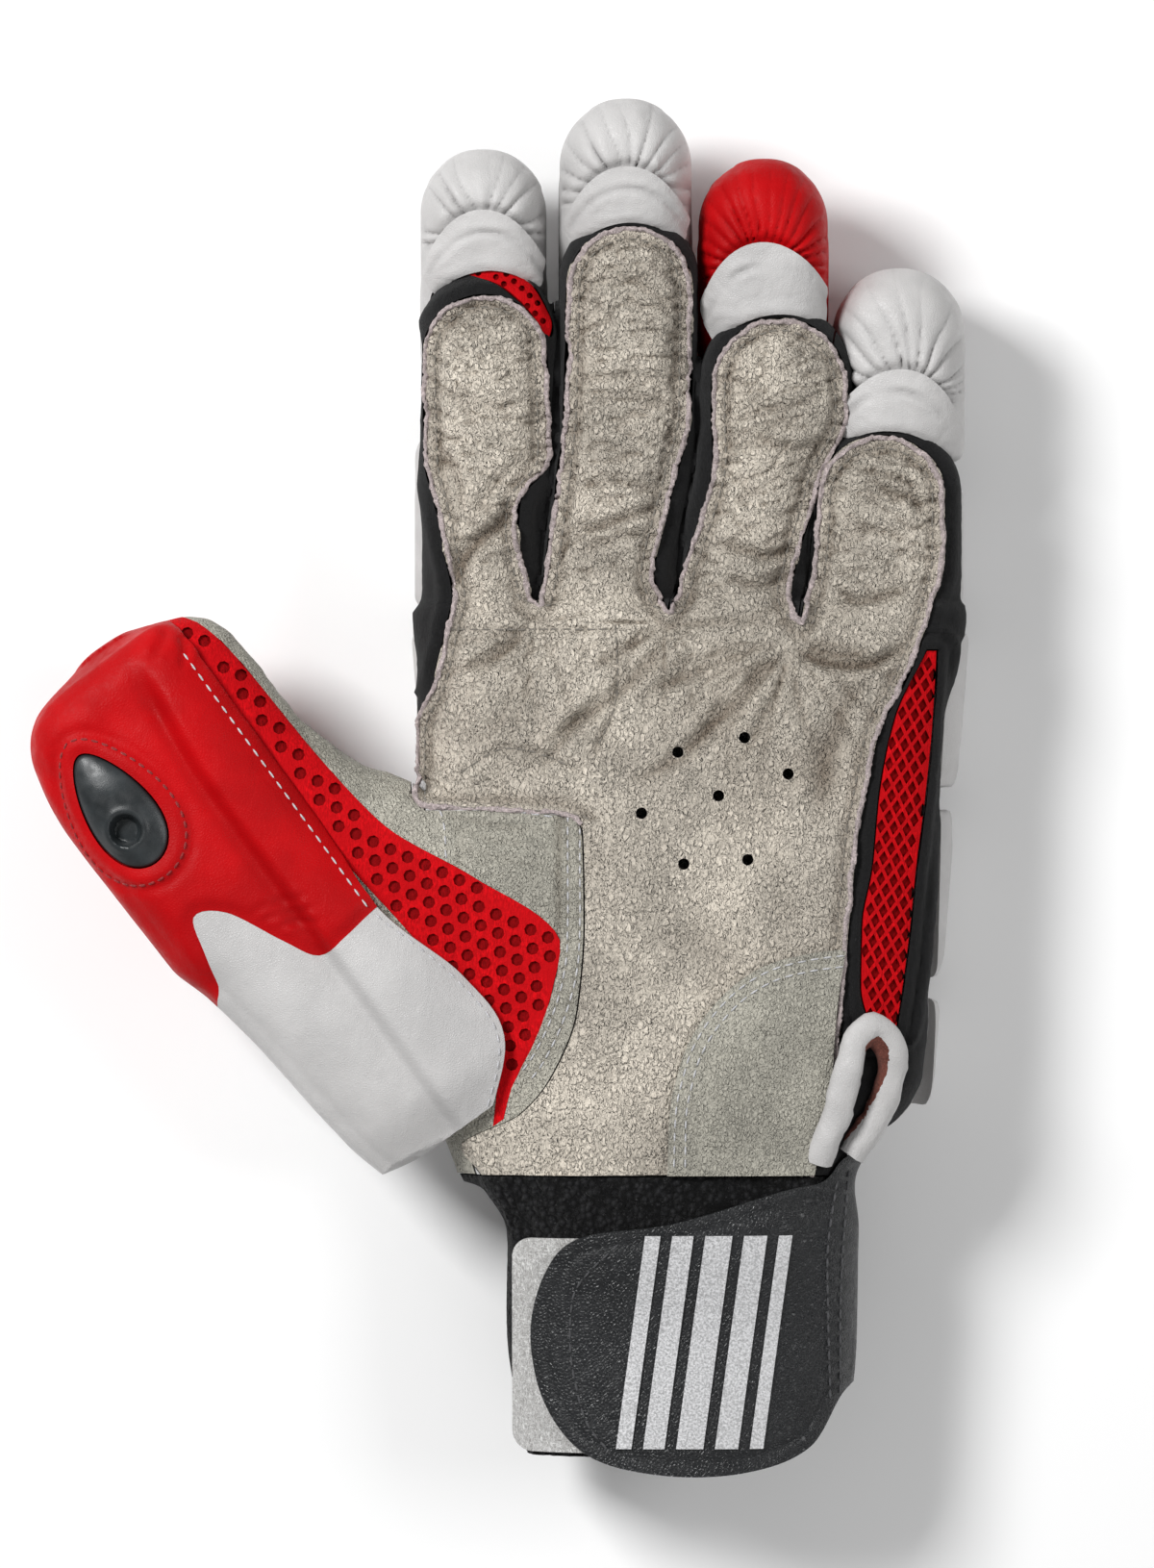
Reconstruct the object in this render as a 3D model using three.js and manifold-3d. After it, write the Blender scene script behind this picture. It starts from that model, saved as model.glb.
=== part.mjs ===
// Left-hand cricket batting glove, lying on its back with the palm up.
// Millimetres. X runs from the thumb to the little finger, Y from the wrist to the fingertips, Z up out of the palm.
// The hollow hand is one skin, cut along its seams into leather, gussets, mesh and cuff.
// Padded rolls lie against the skin's back, and a padded guard wraps round the thumb.
import * as THREE from "three";
import { mergeVertices } from "three/addons/utils/BufferGeometryUtils.js";
import Module from "manifold-3d";

const wasm = await Module();
wasm.setup();

// Palm and fingers
const PALM_WIDTH = 110;
const PALM_LENGTH = 118;
const PALM_DEPTH = 29;
const FINGER_DEPTH = 22;
const INDEX_LENGTH = 71;
const MIDDLE_LENGTH = 82;
const RING_LENGTH = 65;
const LITTLE_LENGTH = 43;
const FINGER_WIDTH = 28;
const FINGER_CURL = 9;
const SKIN_WALL = 1.6;
const SEAM_GAP = 0.35;
const AIR_HOLE_WIDTH = 2.4;
const HOLE_SPREAD = 30;

// Padding on the back of the hand
const ROLL_DEPTH = 20;
const ROLL_WIDTH = 28;
const ROLL_SPACING = 0.6;
const TIP_REACH = 25;
const BAND_WALL = 1.6;
const BAND_LENGTH = 11;

// Wrist
const CUFF_WIDTH = 74;
const CUFF_LENGTH = 58;
const CUFF_DEPTH = 37;
const STRAP_WIDTH = 50;
const STRAP_WALL = 2;
const TAB_WALL = 1.2;
const LOOP_CORD = 6;
const LOOP_LENGTH = 28;
const LOOP_WIDTH = 11;

// Thumb
const THUMB_LENGTH = 127;
const THUMB_WIDTH = 34;
const THUMB_DEPTH = 27;
const THUMB_ANGLE = 36;
const THUMB_CURL = 3;
const GUARD_WIDTH = 43;
const GUARD_DEPTH = 39;
const VENT_LENGTH = 27;
const VENT_WIDTH = 14;
const VENT_WALL = 3;

// Heel patch
const PATCH_WALL = 1;
const PATCH_WIDTH = 33;
const PATCH_LENGTH = 46;

const TOP = 400;
const SPREAD = 400;
const BODY_SIDES = 18;
const FINGER_SIDES = 10;
const THUMB_SIDES = 12;
const ROLL_SIDES = 8;

const leather = { roughness: 0.75, metalness: 0 };
const GREY_LEATHER = new THREE.MeshStandardMaterial({ color: 0xb7aea0, ...leather });
const WHITE_LEATHER = new THREE.MeshStandardMaterial({ color: 0xe2e1df, roughness: 0.55, metalness: 0 });
const RED_LEATHER = new THREE.MeshStandardMaterial({ color: 0xc4141a, roughness: 0.5, metalness: 0 });
const BLACK_LEATHER = new THREE.MeshStandardMaterial({ color: 0x1d1f20, roughness: 0.5, metalness: 0 });
const BLACK_FABRIC = new THREE.MeshStandardMaterial({ color: 0x17191a, roughness: 0.95, metalness: 0 });
const TOWELLING = new THREE.MeshStandardMaterial({ color: 0x141516, roughness: 1, metalness: 0 });
const RED_MESH = new THREE.MeshStandardMaterial({ color: 0xd00c12, roughness: 0.85, metalness: 0 });
const HOOK_FABRIC = new THREE.MeshStandardMaterial({ color: 0xd8d6d2, roughness: 0.9, metalness: 0 });
const RUBBER = new THREE.MeshStandardMaterial({ color: 0x23282a, roughness: 0.45, metalness: 0 });

const glove = new THREE.Group();

// Solids and meshes

function solidOf(geometry) {
  const bare = geometry.clone();
  bare.deleteAttribute("normal");
  bare.deleteAttribute("uv");
  const merged = mergeVertices(bare, 1e-4);
  const vertProperties = new Float32Array(merged.attributes.position.array);
  const triVerts = new Uint32Array(merged.index.array);
  return new wasm.Manifold(new wasm.Mesh({ numProp: 3, vertProperties, triVerts }));
}

// The largest body of a cut, so that no crumb of it stays beside the piece.
function mainBody(solid) {
  const bodies = solid.decompose();
  return bodies.reduce((best, body) => (body.volume() > best.volume() ? body : best));
}

function addPiece(name, solid, material) {
  const mesh = mainBody(solid).getMesh();
  const geometry = new THREE.BufferGeometry();
  geometry.setAttribute("position", new THREE.BufferAttribute(new Float32Array(mesh.vertProperties), 3));
  geometry.setIndex(new THREE.BufferAttribute(new Uint32Array(mesh.triVerts), 1));
  geometry.computeVertexNormals();
  const piece = new THREE.Mesh(geometry, material);
  piece.name = name;
  glove.add(piece);
  return piece;
}

function join(solids) {
  return solids.reduce((whole, solid) => whole.add(solid));
}

// Value of a table's column at a place between its rows.
function along(rows, column, at) {
  const last = rows.length - 1;
  if (at <= rows[0].at) return rows[0][column];
  if (at >= rows[last].at) return rows[last][column];
  const next = rows.findIndex((row) => row.at > at);
  const [low, high] = [rows[next - 1], rows[next]];
  const share = (at - low.at) / (high.at - low.at);
  return low[column] + share * (high[column] - low[column]);
}

// Point of a rounded-box section: bulge 2 is an ellipse, and more is squarer.
function roundedCorner(value, bulge) {
  return Math.sign(value) * Math.abs(value) ** (2 / bulge);
}

// Skin through sections, each {centre, half, depth}, standing across the way they follow. A section may lean.
// side is the sections' level direction, and grow moves the whole skin out, or in when negative.
function loft(sections, sides, bulge, grow = 0, side = new THREE.Vector3(1, 0, 0)) {
  const way = new THREE.Vector3(-side.y, side.x, 0);
  const last = sections.length - 1;
  const geometry = new THREE.CylinderGeometry(1, 1, 1, sides, last);
  const place = geometry.attributes.position;
  const point = new THREE.Vector3();
  for (let i = 0; i < place.count; i++) {
    const row = Math.round((place.getY(i) + 0.5) * last);
    const section = sections[row];
    const across = roundedCorner(place.getX(i), bulge) * Math.max(section.half + grow, 0.4);
    const up = roundedCorner(place.getZ(i), bulge) * Math.max(section.depth + grow, 0.4);
    const end = row === 0 ? -grow : row === last ? grow : 0;
    const lean = (section.lean ?? 0) * across;
    point.copy(section.centre).addScaledVector(side, across).addScaledVector(way, end + lean);
    place.setXYZ(i, point.x, point.y, point.z + up);
  }
  return solidOf(geometry);
}

// Upright solid on an outline, between two heights.
function standing(outline, low = -TOP, high = TOP) {
  const shape = new THREE.Shape(outline.map(([x, y]) => new THREE.Vector2(x, y)));
  const geometry = new THREE.ExtrudeGeometry(shape, { depth: high - low, bevelEnabled: false });
  geometry.translate(0, 0, low);
  return solidOf(geometry);
}

// Everything above a level that changes up the glove, given at the heights in ys.
function above(ys, levelAt) {
  const [first, last] = [ys[0], ys[ys.length - 1]];
  const line = ys.map((y) => new THREE.Vector2(y, levelAt(y)));
  const before = new THREE.Vector2(first - SPREAD, levelAt(first));
  const after = new THREE.Vector2(last + SPREAD, levelAt(last));
  const corners = [new THREE.Vector2(last + SPREAD, TOP), new THREE.Vector2(first - SPREAD, TOP)];
  const shape = new THREE.Shape([before, ...line, after, ...corners]);
  const geometry = new THREE.ExtrudeGeometry(shape, { depth: 2 * SPREAD, bevelEnabled: false });
  geometry.rotateY(Math.PI / 2);
  geometry.rotateX(Math.PI / 2);
  geometry.translate(-SPREAD, 0, 0);
  return solidOf(geometry);
}

// Outline between a left and a right edge that follow a table.
function stripOutline(rows, grow = 0) {
  const [first, last] = [rows[0], rows[rows.length - 1]];
  const ended = rows.map((row) => ({ ...row }));
  ended[0].y = first.y - grow;
  ended[ended.length - 1].y = last.y + grow;
  const right = ended.map((row) => [row.right + grow, row.y]);
  const left = ended.map((row) => [row.left - grow, row.y]).reverse();
  return [...right, ...left];
}

function box(left, right, near, far, low = -TOP, high = TOP) {
  return standing([[left, near], [right, near], [right, far], [left, far]], low, high);
}

// Palm and cuff sections

// Shares of PALM_LENGTH up from the heel, of PALM_WIDTH to each side, and of PALM_DEPTH from the back's level.
const PALM_ROWS = [
  { at: 0.0, left: -0.373, right: 0.312, low: -0.22, high: 1.0 },
  { at: 0.16, left: -0.44, right: 0.462, low: -0.05, high: 1.02 },
  { at: 0.34, left: -0.464, right: 0.488, low: 0.0, high: 1.02 },
  { at: 0.8, left: -0.468, right: 0.53, low: 0.0, high: 0.93 },
  { at: 0.985, left: -0.464, right: 0.545, low: 0.0, high: 0.79 },
];

// Shares of CUFF_LENGTH down from the heel, of CUFF_WIDTH to each side, and of CUFF_DEPTH from the cuff's lowest level.
const CUFF_ROWS = [
  { at: 0.2, left: -0.49, right: 0.47, low: 0.06, high: 1.06 },
  { at: 0.6, left: -0.48, right: 0.465, low: 0.0, high: 1.0 },
  { at: 1.0, left: -0.43, right: 0.43, low: 0.0, high: 1.0 },
];

const CUFF_LOW = ROLL_DEPTH / 2;

// How far the knuckle line drops for each length across, from the index web to the little finger's.
const KNUCKLE_SLANT = (0.958 - 1.0) * PALM_LENGTH / (0.75 * PALM_WIDTH);

function bodySections(reach) {
  const cuff = CUFF_ROWS.map((row) => ({
    y: -row.at * (row.at === 1 ? CUFF_LENGTH + reach : CUFF_LENGTH),
    left: row.left * CUFF_WIDTH,
    right: row.right * CUFF_WIDTH,
    low: CUFF_LOW + row.low * CUFF_DEPTH,
    high: CUFF_LOW + row.high * CUFF_DEPTH,
  })).reverse();
  const palm = PALM_ROWS.map((row) => ({
    y: row.at * PALM_LENGTH,
    left: row.left * PALM_WIDTH,
    right: row.right * PALM_WIDTH,
    low: ROLL_DEPTH + row.low * PALM_DEPTH,
    high: ROLL_DEPTH + row.high * PALM_DEPTH,
  }));
  return [...cuff, ...palm].map((row, i) => ({
    at: row.y,
    lean: i === cuff.length + palm.length - 1 ? KNUCKLE_SLANT : 0,
    centre: new THREE.Vector3((row.left + row.right) / 2, row.y, (row.low + row.high) / 2),
    half: (row.right - row.left) / 2,
    depth: (row.high - row.low) / 2,
    left: row.left,
    right: row.right,
    middle: (row.low + row.high) / 2,
    low: row.low,
  }));
}

const BODY = bodySections(0);
const BODY_BULGE = 2.6;
const bodyMiddle = (y) => along(BODY, "middle", y);

// Finger sections

// web is a share of PALM_LENGTH, split and front are shares of the finger's length, reach of TIP_REACH,
// mid and cap are the rolls' centres as shares of PALM_WIDTH, and wide their width as a share of ROLL_WIDTH.
// Each row is a share of the finger's length from the web, with the centre as a share of PALM_WIDTH,
// the half width as a share of FINGER_WIDTH, and the black edge seen at each side as shares of FINGER_WIDTH.
const FINGERS = [
  {
    name: "index",
    length: INDEX_LENGTH,
    web: 1.0,
    split: 0.53,
    front: 0.915,
    reach: 0.96,
    mid: -0.37,
    cap: -0.359,
    wide: 0.975,
    rows: [
      { at: -0.25, centre: -0.36, half: 0.38, left: 0.2, right: 0.05 },
      { at: 0.0, centre: -0.367, half: 0.432, left: 0.25, right: 0.045 },
      { at: 0.2, centre: -0.363, half: 0.441, left: 0.155, right: 0.168 },
      { at: 0.3, centre: -0.359, half: 0.463, left: 0.11, right: 0.196 },
      { at: 0.43, centre: -0.352, half: 0.493, left: 0.04, right: 0.03 },
      { at: 1.0, centre: -0.348, half: 0.487, left: 0.0, right: 0.11 },
    ],
  },
  {
    name: "middle",
    length: MIDDLE_LENGTH,
    web: 0.99,
    split: 0.55,
    front: 0.965,
    reach: 0.98,
    mid: -0.09,
    cap: -0.09,
    wide: 1.02,
    rows: [
      { at: -0.25, centre: -0.134, half: 0.42, left: 0.05, right: 0.05 },
      { at: 0.0, centre: -0.134, half: 0.5, left: 0.03, right: 0.04 },
      { at: 0.1, centre: -0.125, half: 0.509, left: 0.055, right: 0.175 },
      { at: 0.35, centre: -0.099, half: 0.518, left: 0.057, right: 0.107 },
      { at: 0.5, centre: -0.088, half: 0.51, left: 0.05, right: 0.04 },
      { at: 1.0, centre: -0.083, half: 0.5, left: 0.05, right: 0.04 },
    ],
  },
  {
    name: "ring",
    length: RING_LENGTH,
    web: 0.975,
    split: 0.54,
    front: 0.955,
    reach: 1.24,
    mid: 0.171,
    cap: 0.171,
    wide: 1.0,
    rows: [
      { at: -0.25, centre: 0.11, half: 0.42, left: 0.05, right: 0.05 },
      { at: 0.0, centre: 0.109, half: 0.51, left: 0.04, right: 0.04 },
      { at: 0.1, centre: 0.125, half: 0.48, left: 0.03, right: 0.115 },
      { at: 0.45, centre: 0.158, half: 0.486, left: 0.15, right: 0.02 },
      { at: 0.65, centre: 0.196, half: 0.558, left: 0.08, right: 0.043 },
      { at: 1.0, centre: 0.195, half: 0.548, left: 0.085, right: 0.057 },
    ],
  },
  {
    name: "little",
    length: LITTLE_LENGTH,
    web: 0.958,
    split: 0.77,
    front: 0.93,
    reach: 1.3,
    mid: 0.428,
    cap: 0.428,
    wide: 1.02,
    rows: [
      { at: -0.4, centre: 0.37, half: 0.46, left: 0.05, right: 0.13 },
      { at: 0.0, centre: 0.384, half: 0.61, left: 0.04, right: 0.25 },
      { at: 0.35, centre: 0.4, half: 0.57, left: 0.05, right: 0.14 },
      { at: 1.0, centre: 0.406, half: 0.55, left: 0.05, right: 0.15 },
    ],
  },
];

const FINGER_BULGE = 2.3;
const ARC_ANGLES = [32, 60, 80];

for (const finger of FINGERS) {
  finger.webY = finger.web * PALM_LENGTH;
  finger.tipY = finger.webY + finger.length;
  finger.centreAt = (y) => along(finger.rows, "centre", (y - finger.webY) / finger.length) * PALM_WIDTH;
  finger.halfAt = (y) => along(finger.rows, "half", (y - finger.webY) / finger.length) * FINGER_WIDTH;
  finger.edgeAt = (side, y) => along(finger.rows, side, (y - finger.webY) / finger.length) * FINGER_WIDTH;
  finger.liftAt = (y) => FINGER_CURL * Math.max(0, (y - finger.webY) / MIDDLE_LENGTH) ** 2;
  finger.middleAt = (y) => ROLL_DEPTH + FINGER_DEPTH / 2 + finger.liftAt(y);
}

// Straight rows of a finger, then rows that round its tip.
function fingerSections(finger) {
  const tipRadius = finger.halfAt(finger.tipY);
  const arcStart = finger.tipY - tipRadius;
  const straight = finger.rows
    .map((row) => ({ y: finger.webY + row.at * finger.length, turn: 1 }))
    .filter((row) => row.y < arcStart - 1);
  const arc = [0, ...ARC_ANGLES].map((angle) => {
    const turn = THREE.MathUtils.degToRad(angle);
    return { y: arcStart + tipRadius * Math.sin(turn), turn: Math.cos(turn) };
  });
  return [...straight, ...arc].map((row) => ({
    centre: new THREE.Vector3(finger.centreAt(row.y), row.y, finger.middleAt(row.y)),
    half: finger.halfAt(row.y) * row.turn,
    depth: (FINGER_DEPTH / 2) * row.turn ** 0.7,
  }));
}

// Thumb sections

const THUMB_TURN = THREE.MathUtils.degToRad(THUMB_ANGLE);
const THUMB_SIDE = new THREE.Vector3(Math.cos(THUMB_TURN), Math.sin(THUMB_TURN), 0);
const THUMB_WAY = new THREE.Vector3(-THUMB_SIDE.y, THUMB_SIDE.x, 0);

// Where the guard's stitched edge meets its lower end.
const THUMB_ROOT = new THREE.Vector3(-0.295 * PALM_WIDTH, 0.137 * PALM_LENGTH, 0);

const THUMB_MIDDLE = ROLL_DEPTH + PALM_DEPTH / 2;

// Place in the thumb's own lengths: across from the stitched edge and up along the thumb.
function thumbPlace(across, up) {
  const point = THUMB_ROOT.clone().addScaledVector(THUMB_SIDE, across).addScaledVector(THUMB_WAY, up);
  return [point.x, point.y];
}

function thumbMiddle(up) {
  return THUMB_MIDDLE + THUMB_CURL * (up / THUMB_LENGTH);
}

// Shares of THUMB_LENGTH up the thumb, of THUMB_WIDTH across it, and of THUMB_DEPTH.
const THUMB_ROWS = [
  { at: 0.1, inner: 1.5, outer: 0.2, depth: 0.86 },
  { at: 0.25, inner: 1.3, outer: -0.3, depth: 0.98 },
  { at: 0.42, inner: 0.87, outer: -0.72, depth: 1.0 },
  { at: 0.5, inner: 0.6, outer: -0.72, depth: 1.0 },
  { at: 0.59, inner: 0.4, outer: -0.72, depth: 1.0 },
  { at: 0.73, inner: 0.28, outer: -0.72, depth: 0.98 },
  { at: 0.88, inner: 0.25, outer: -0.66, depth: 0.9 },
  { at: 0.95, inner: 0.12, outer: -0.52, depth: 0.68 },
  { at: 0.97, inner: 0.0, outer: -0.38, depth: 0.5 },
];

// The guard's sections: shares of THUMB_LENGTH up the thumb, of GUARD_WIDTH across it and of GUARD_DEPTH.
const GUARD_ROWS = [
  { at: 0.015, inner: 0.3, outer: -0.74, depth: 0.7 },
  { at: 0.1, inner: 0.3, outer: -0.8, depth: 0.9 },
  { at: 0.42, inner: 0.14, outer: -0.92, depth: 1.0 },
  { at: 0.5, inner: 0.06, outer: -0.985, depth: 1.0 },
  { at: 0.78, inner: 0.06, outer: -1.01, depth: 0.99 },
  { at: 0.89, inner: 0.06, outer: -0.96, depth: 0.9 },
  { at: 0.96, inner: 0.02, outer: -0.82, depth: 0.68 },
  { at: 0.985, inner: -0.1, outer: -0.6, depth: 0.4 },
];

// The guard's inner edge, where it is stitched: shares of THUMB_LENGTH up and of GUARD_WIDTH across.
const GUARD_SEAM = [
  { up: -0.1, across: -0.5 },
  { up: 0.0, across: -0.16 },
  { up: 0.095, across: 0.13 },
  { up: 0.217, across: 0.135 },
  { up: 0.385, across: 0.0 },
  { up: 1.5, across: 0.0 },
];

function thumbSections(rows, width, depth) {
  return rows.map((row) => {
    const up = row.at * THUMB_LENGTH;
    const [x, y] = thumbPlace(((row.inner + row.outer) / 2) * width, up);
    return {
      centre: new THREE.Vector3(x, y, thumbMiddle(up)),
      half: ((row.inner - row.outer) / 2) * width,
      depth: (row.depth * depth) / 2,
    };
  });
}

const THUMB_BULGE = 2.5;
const GUARD_BULGE = 3.2;

const thumbLoft = (grow, sides = THUMB_SIDES) =>
  loft(thumbSections(THUMB_ROWS, THUMB_WIDTH, THUMB_DEPTH), sides, THUMB_BULGE, grow, THUMB_SIDE);
const guardLoft = (grow) =>
  loft(thumbSections(GUARD_ROWS, GUARD_WIDTH, GUARD_DEPTH), THUMB_SIDES, GUARD_BULGE, grow, THUMB_SIDE);

// The hand's skin

function handSolid(grow) {
  const body = loft(BODY, BODY_SIDES, BODY_BULGE, grow);
  const fingers = FINGERS.map((finger) => loft(fingerSections(finger), FINGER_SIDES, FINGER_BULGE, grow));
  return join([body, ...fingers, thumbLoft(grow)]);
}

// The hollow inside, with fewer sides than the outside.
function hollowSolid() {
  const body = loft(BODY, BODY_SIDES - 4, BODY_BULGE, -SKIN_WALL);
  const fingers = FINGERS.map((finger) => loft(fingerSections(finger), FINGER_SIDES - 2, FINGER_BULGE, -SKIN_WALL));
  return join([body, ...fingers, thumbLoft(-SKIN_WALL, THUMB_SIDES - 2)]);
}

const wristMouth = loft(
  [
    { ...BODY[0], centre: BODY[0].centre.clone().setY(-CUFF_LENGTH - TOP) },
    { ...BODY[0], centre: BODY[0].centre.clone().setY(-CUFF_LENGTH + 2 * SKIN_WALL) },
  ],
  BODY_SIDES - 4,
  BODY_BULGE,
  -SKIN_WALL,
);
const skin = handSolid(0).subtract(hollowSolid()).subtract(wristMouth);
const hand = handSolid(SEAM_GAP);

// Seam lines, as outlines seen from above the palm

// The palm leather's edges: shares of PALM_LENGTH and PALM_WIDTH. Left follows the thumb's saddle seam.
const PALM_EDGE_ROWS = [
  { at: 0.0, left: -0.36, right: 0.262 },
  { at: 0.05, left: -0.4, right: 0.272 },
  { at: 0.11, left: -0.285, right: 0.285 },
  { at: 0.18, left: -0.225, right: 0.3 },
  { at: 0.29, left: -0.18, right: 0.315 },
  { at: 0.44, left: -0.167, right: 0.328 },
  { at: 0.6, left: -0.17, right: 0.346 },
  { at: 0.635, left: -0.2, right: 0.352 },
  { at: 0.65, left: -0.49, right: 0.356 },
  { at: 0.78, left: -0.49, right: 0.385 },
  { at: 0.86, left: -0.452, right: 0.43 },
  { at: 0.95, left: -0.43, right: 0.468 },
  { at: 1.05, left: -0.41, right: 0.485 },
];

const palmEdge = PALM_EDGE_ROWS.map((row) => ({
  at: row.at * PALM_LENGTH,
  y: row.at * PALM_LENGTH,
  left: row.left * PALM_WIDTH,
  right: row.right * PALM_WIDTH,
}));

// A finger's leather front: its straight edges, then a half-round tip.
function frontOutline(finger, grow) {
  const leftAt = (y) => finger.centreAt(y) - finger.halfAt(y) + finger.edgeAt("left", y) - grow;
  const rightAt = (y) => finger.centreAt(y) + finger.halfAt(y) - finger.edgeAt("right", y) + grow;
  const frontY = finger.webY + finger.front * finger.length + grow;
  const tipRadius = (rightAt(finger.tipY) - leftAt(finger.tipY)) / 2;
  const arcY = frontY - tipRadius;
  const rowYs = finger.rows.map((row) => finger.webY + row.at * finger.length);
  const startY = finger.webY - finger.length / 20;
  const ys = [startY, ...rowYs.filter((y) => y > startY && y < arcY - 1), arcY];
  const right = ys.map((y) => [rightAt(y), y]);
  const left = ys.map((y) => [leftAt(y), y]).reverse();
  const [x, radius] = [(leftAt(arcY) + rightAt(arcY)) / 2, (rightAt(arcY) - leftAt(arcY)) / 2];
  const arc = [38, 72, 108, 142].map((angle) => {
    const turn = THREE.MathUtils.degToRad(angle);
    return [x + radius * Math.cos(turn), arcY + tipRadius * Math.sin(turn)];
  });
  return [...right, ...arc, ...left];
}

// Heights up a finger where its own level is taken.
const levelYs = (finger) => [-0.2, 0.2, 0.5, 0.8, 1.1].map((share) => finger.webY + share * finger.length);

function upperHalf(grow) {
  return above(BODY.map((row) => row.at), (y) => bodyMiddle(y) - grow);
}

// Knuckle line, from the index web down to the little finger's.
const knuckleAt = (x) => {
  const [index, little] = [FINGERS[0], FINGERS[3]];
  const [start, end] = [index.centreAt(index.webY), little.centreAt(little.webY)];
  return index.webY + ((x - start) / (end - start)) * (little.webY - index.webY);
};

function belowKnuckles(grow) {
  const edge = [[SPREAD, knuckleAt(SPREAD) + grow], [-SPREAD, knuckleAt(-SPREAD) + grow]];
  return standing([[-SPREAD, -SPREAD], [SPREAD, -SPREAD], ...edge]);
}

function leatherFront(grow) {
  const palm = standing(stripOutline(palmEdge, grow)).intersect(upperHalf(grow)).intersect(belowKnuckles(grow));
  const fronts = FINGERS.map((finger) =>
    standing(frontOutline(finger, grow)).intersect(
      above(levelYs(finger), (y) => finger.middleAt(y) - grow),
    ),
  );
  return join([palm, ...fronts]);
}

// The stretch of the skin between two heights up the glove. A null end follows the knuckle line.
function zone(near, far, left = -SPREAD, right = SPREAD) {
  const nearAt = (x) => (near === null ? knuckleAt(x) + SEAM_GAP / 2 : near);
  const farAt = (x) => (far === null ? knuckleAt(x) - SEAM_GAP / 2 : far);
  return standing([[left, nearAt(left)], [right, nearAt(right)], [right, farAt(right)], [left, farAt(left)]]);
}

// Left of the body, and over the saddle between the thumb and the palm.
function thumbZone(grow) {
  const saddle = palmEdge.filter((row) => row.at > 0.03 * PALM_LENGTH && row.at < 0.64 * PALM_LENGTH);
  const [first, last] = [saddle[0], saddle[saddle.length - 1]];
  const edge = saddle.map((row) => [row.left - SEAM_GAP + grow, row.y]);
  const top = standing([
    ...edge,
    [first.left - SPREAD, last.y + grow],
    [first.left - SPREAD, first.y - grow],
  ]).intersect(upperHalf(grow));
  const sides = BODY.filter((row) => row.at > -1).map((row) => [row.left + grow, row.at]);
  const beside = standing([...sides, [-SPREAD, PALM_LENGTH], [-SPREAD, 0]]);
  return top.add(beside);
}

// The mesh beside the thumb guard: shares of THUMB_LENGTH and THUMB_WIDTH.
const THUMB_MESH_ROWS = [
  { at: -0.015, left: -0.22, right: -0.14 },
  { at: 0.02, left: -0.1, right: 0.02 },
  { at: 0.054, left: 0.0, right: 0.27 },
  { at: 0.106, left: 0.08, right: 0.55 },
  { at: 0.178, left: 0.1, right: 0.785 },
  { at: 0.33, left: 0.06, right: 0.58 },
  { at: 0.5, left: 0.0, right: 0.31 },
  { at: 0.65, left: 0.0, right: 0.24 },
  { at: 0.86, left: 0.0, right: 0.19 },
];

function thumbMeshPrism(grow) {
  const edge = (key, sign) => (row) => thumbPlace(row[key] * THUMB_WIDTH + sign * grow, row.at * THUMB_LENGTH);
  const right = THUMB_MESH_ROWS.map(edge("right", 1));
  const left = THUMB_MESH_ROWS.map(edge("left", -1)).reverse();
  return standing([...right, ...left], THUMB_MIDDLE + THUMB_CURL);
}

// The mesh in the hand's outer side: shares of PALM_LENGTH and PALM_WIDTH.
const SIDE_MESH_ROWS = [
  { at: 0.26, left: 0.37, right: 0.418 },
  { at: 0.33, left: 0.352, right: 0.43 },
  { at: 0.44, left: 0.354, right: 0.445 },
  { at: 0.54, left: 0.374, right: 0.456 },
  { at: 0.66, left: 0.386, right: 0.473 },
  { at: 0.8, left: 0.416, right: 0.488 },
  { at: 0.92, left: 0.477, right: 0.495 },
];

function sideMeshPrism(grow) {
  const rows = SIDE_MESH_ROWS.map((row) => ({
    y: row.at * PALM_LENGTH,
    left: row.left * PALM_WIDTH,
    right: row.right * PALM_WIDTH,
  }));
  return standing(stripOutline(rows, grow)).intersect(upperHalf(0));
}

// Palm, thumb, sides, back and cuff

function airHoles() {
  // Shares of HOLE_SPREAD from the middle of the group.
  const holes = [
    { across: -0.45, up: 0.1 },
    { across: -0.2, up: 0.52 },
    { across: 0.26, up: 0.62 },
    { across: 0.08, up: 0.22 },
    { across: 0.56, up: 0.37 },
    { across: -0.16, up: -0.25 },
    { across: 0.28, up: -0.22 },
  ];
  const [x, y] = [0.062 * PALM_WIDTH, 0.61 * PALM_LENGTH];
  return join(holes.map((hole) => {
    const geometry = new THREE.CylinderGeometry(AIR_HOLE_WIDTH / 2, AIR_HOLE_WIDTH / 2, PALM_DEPTH, 6);
    geometry.rotateX(Math.PI / 2);
    geometry.translate(x + hole.across * HOLE_SPREAD, y + hole.up * HOLE_SPREAD, ROLL_DEPTH + PALM_DEPTH);
    return solidOf(geometry);
  }));
}

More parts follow.
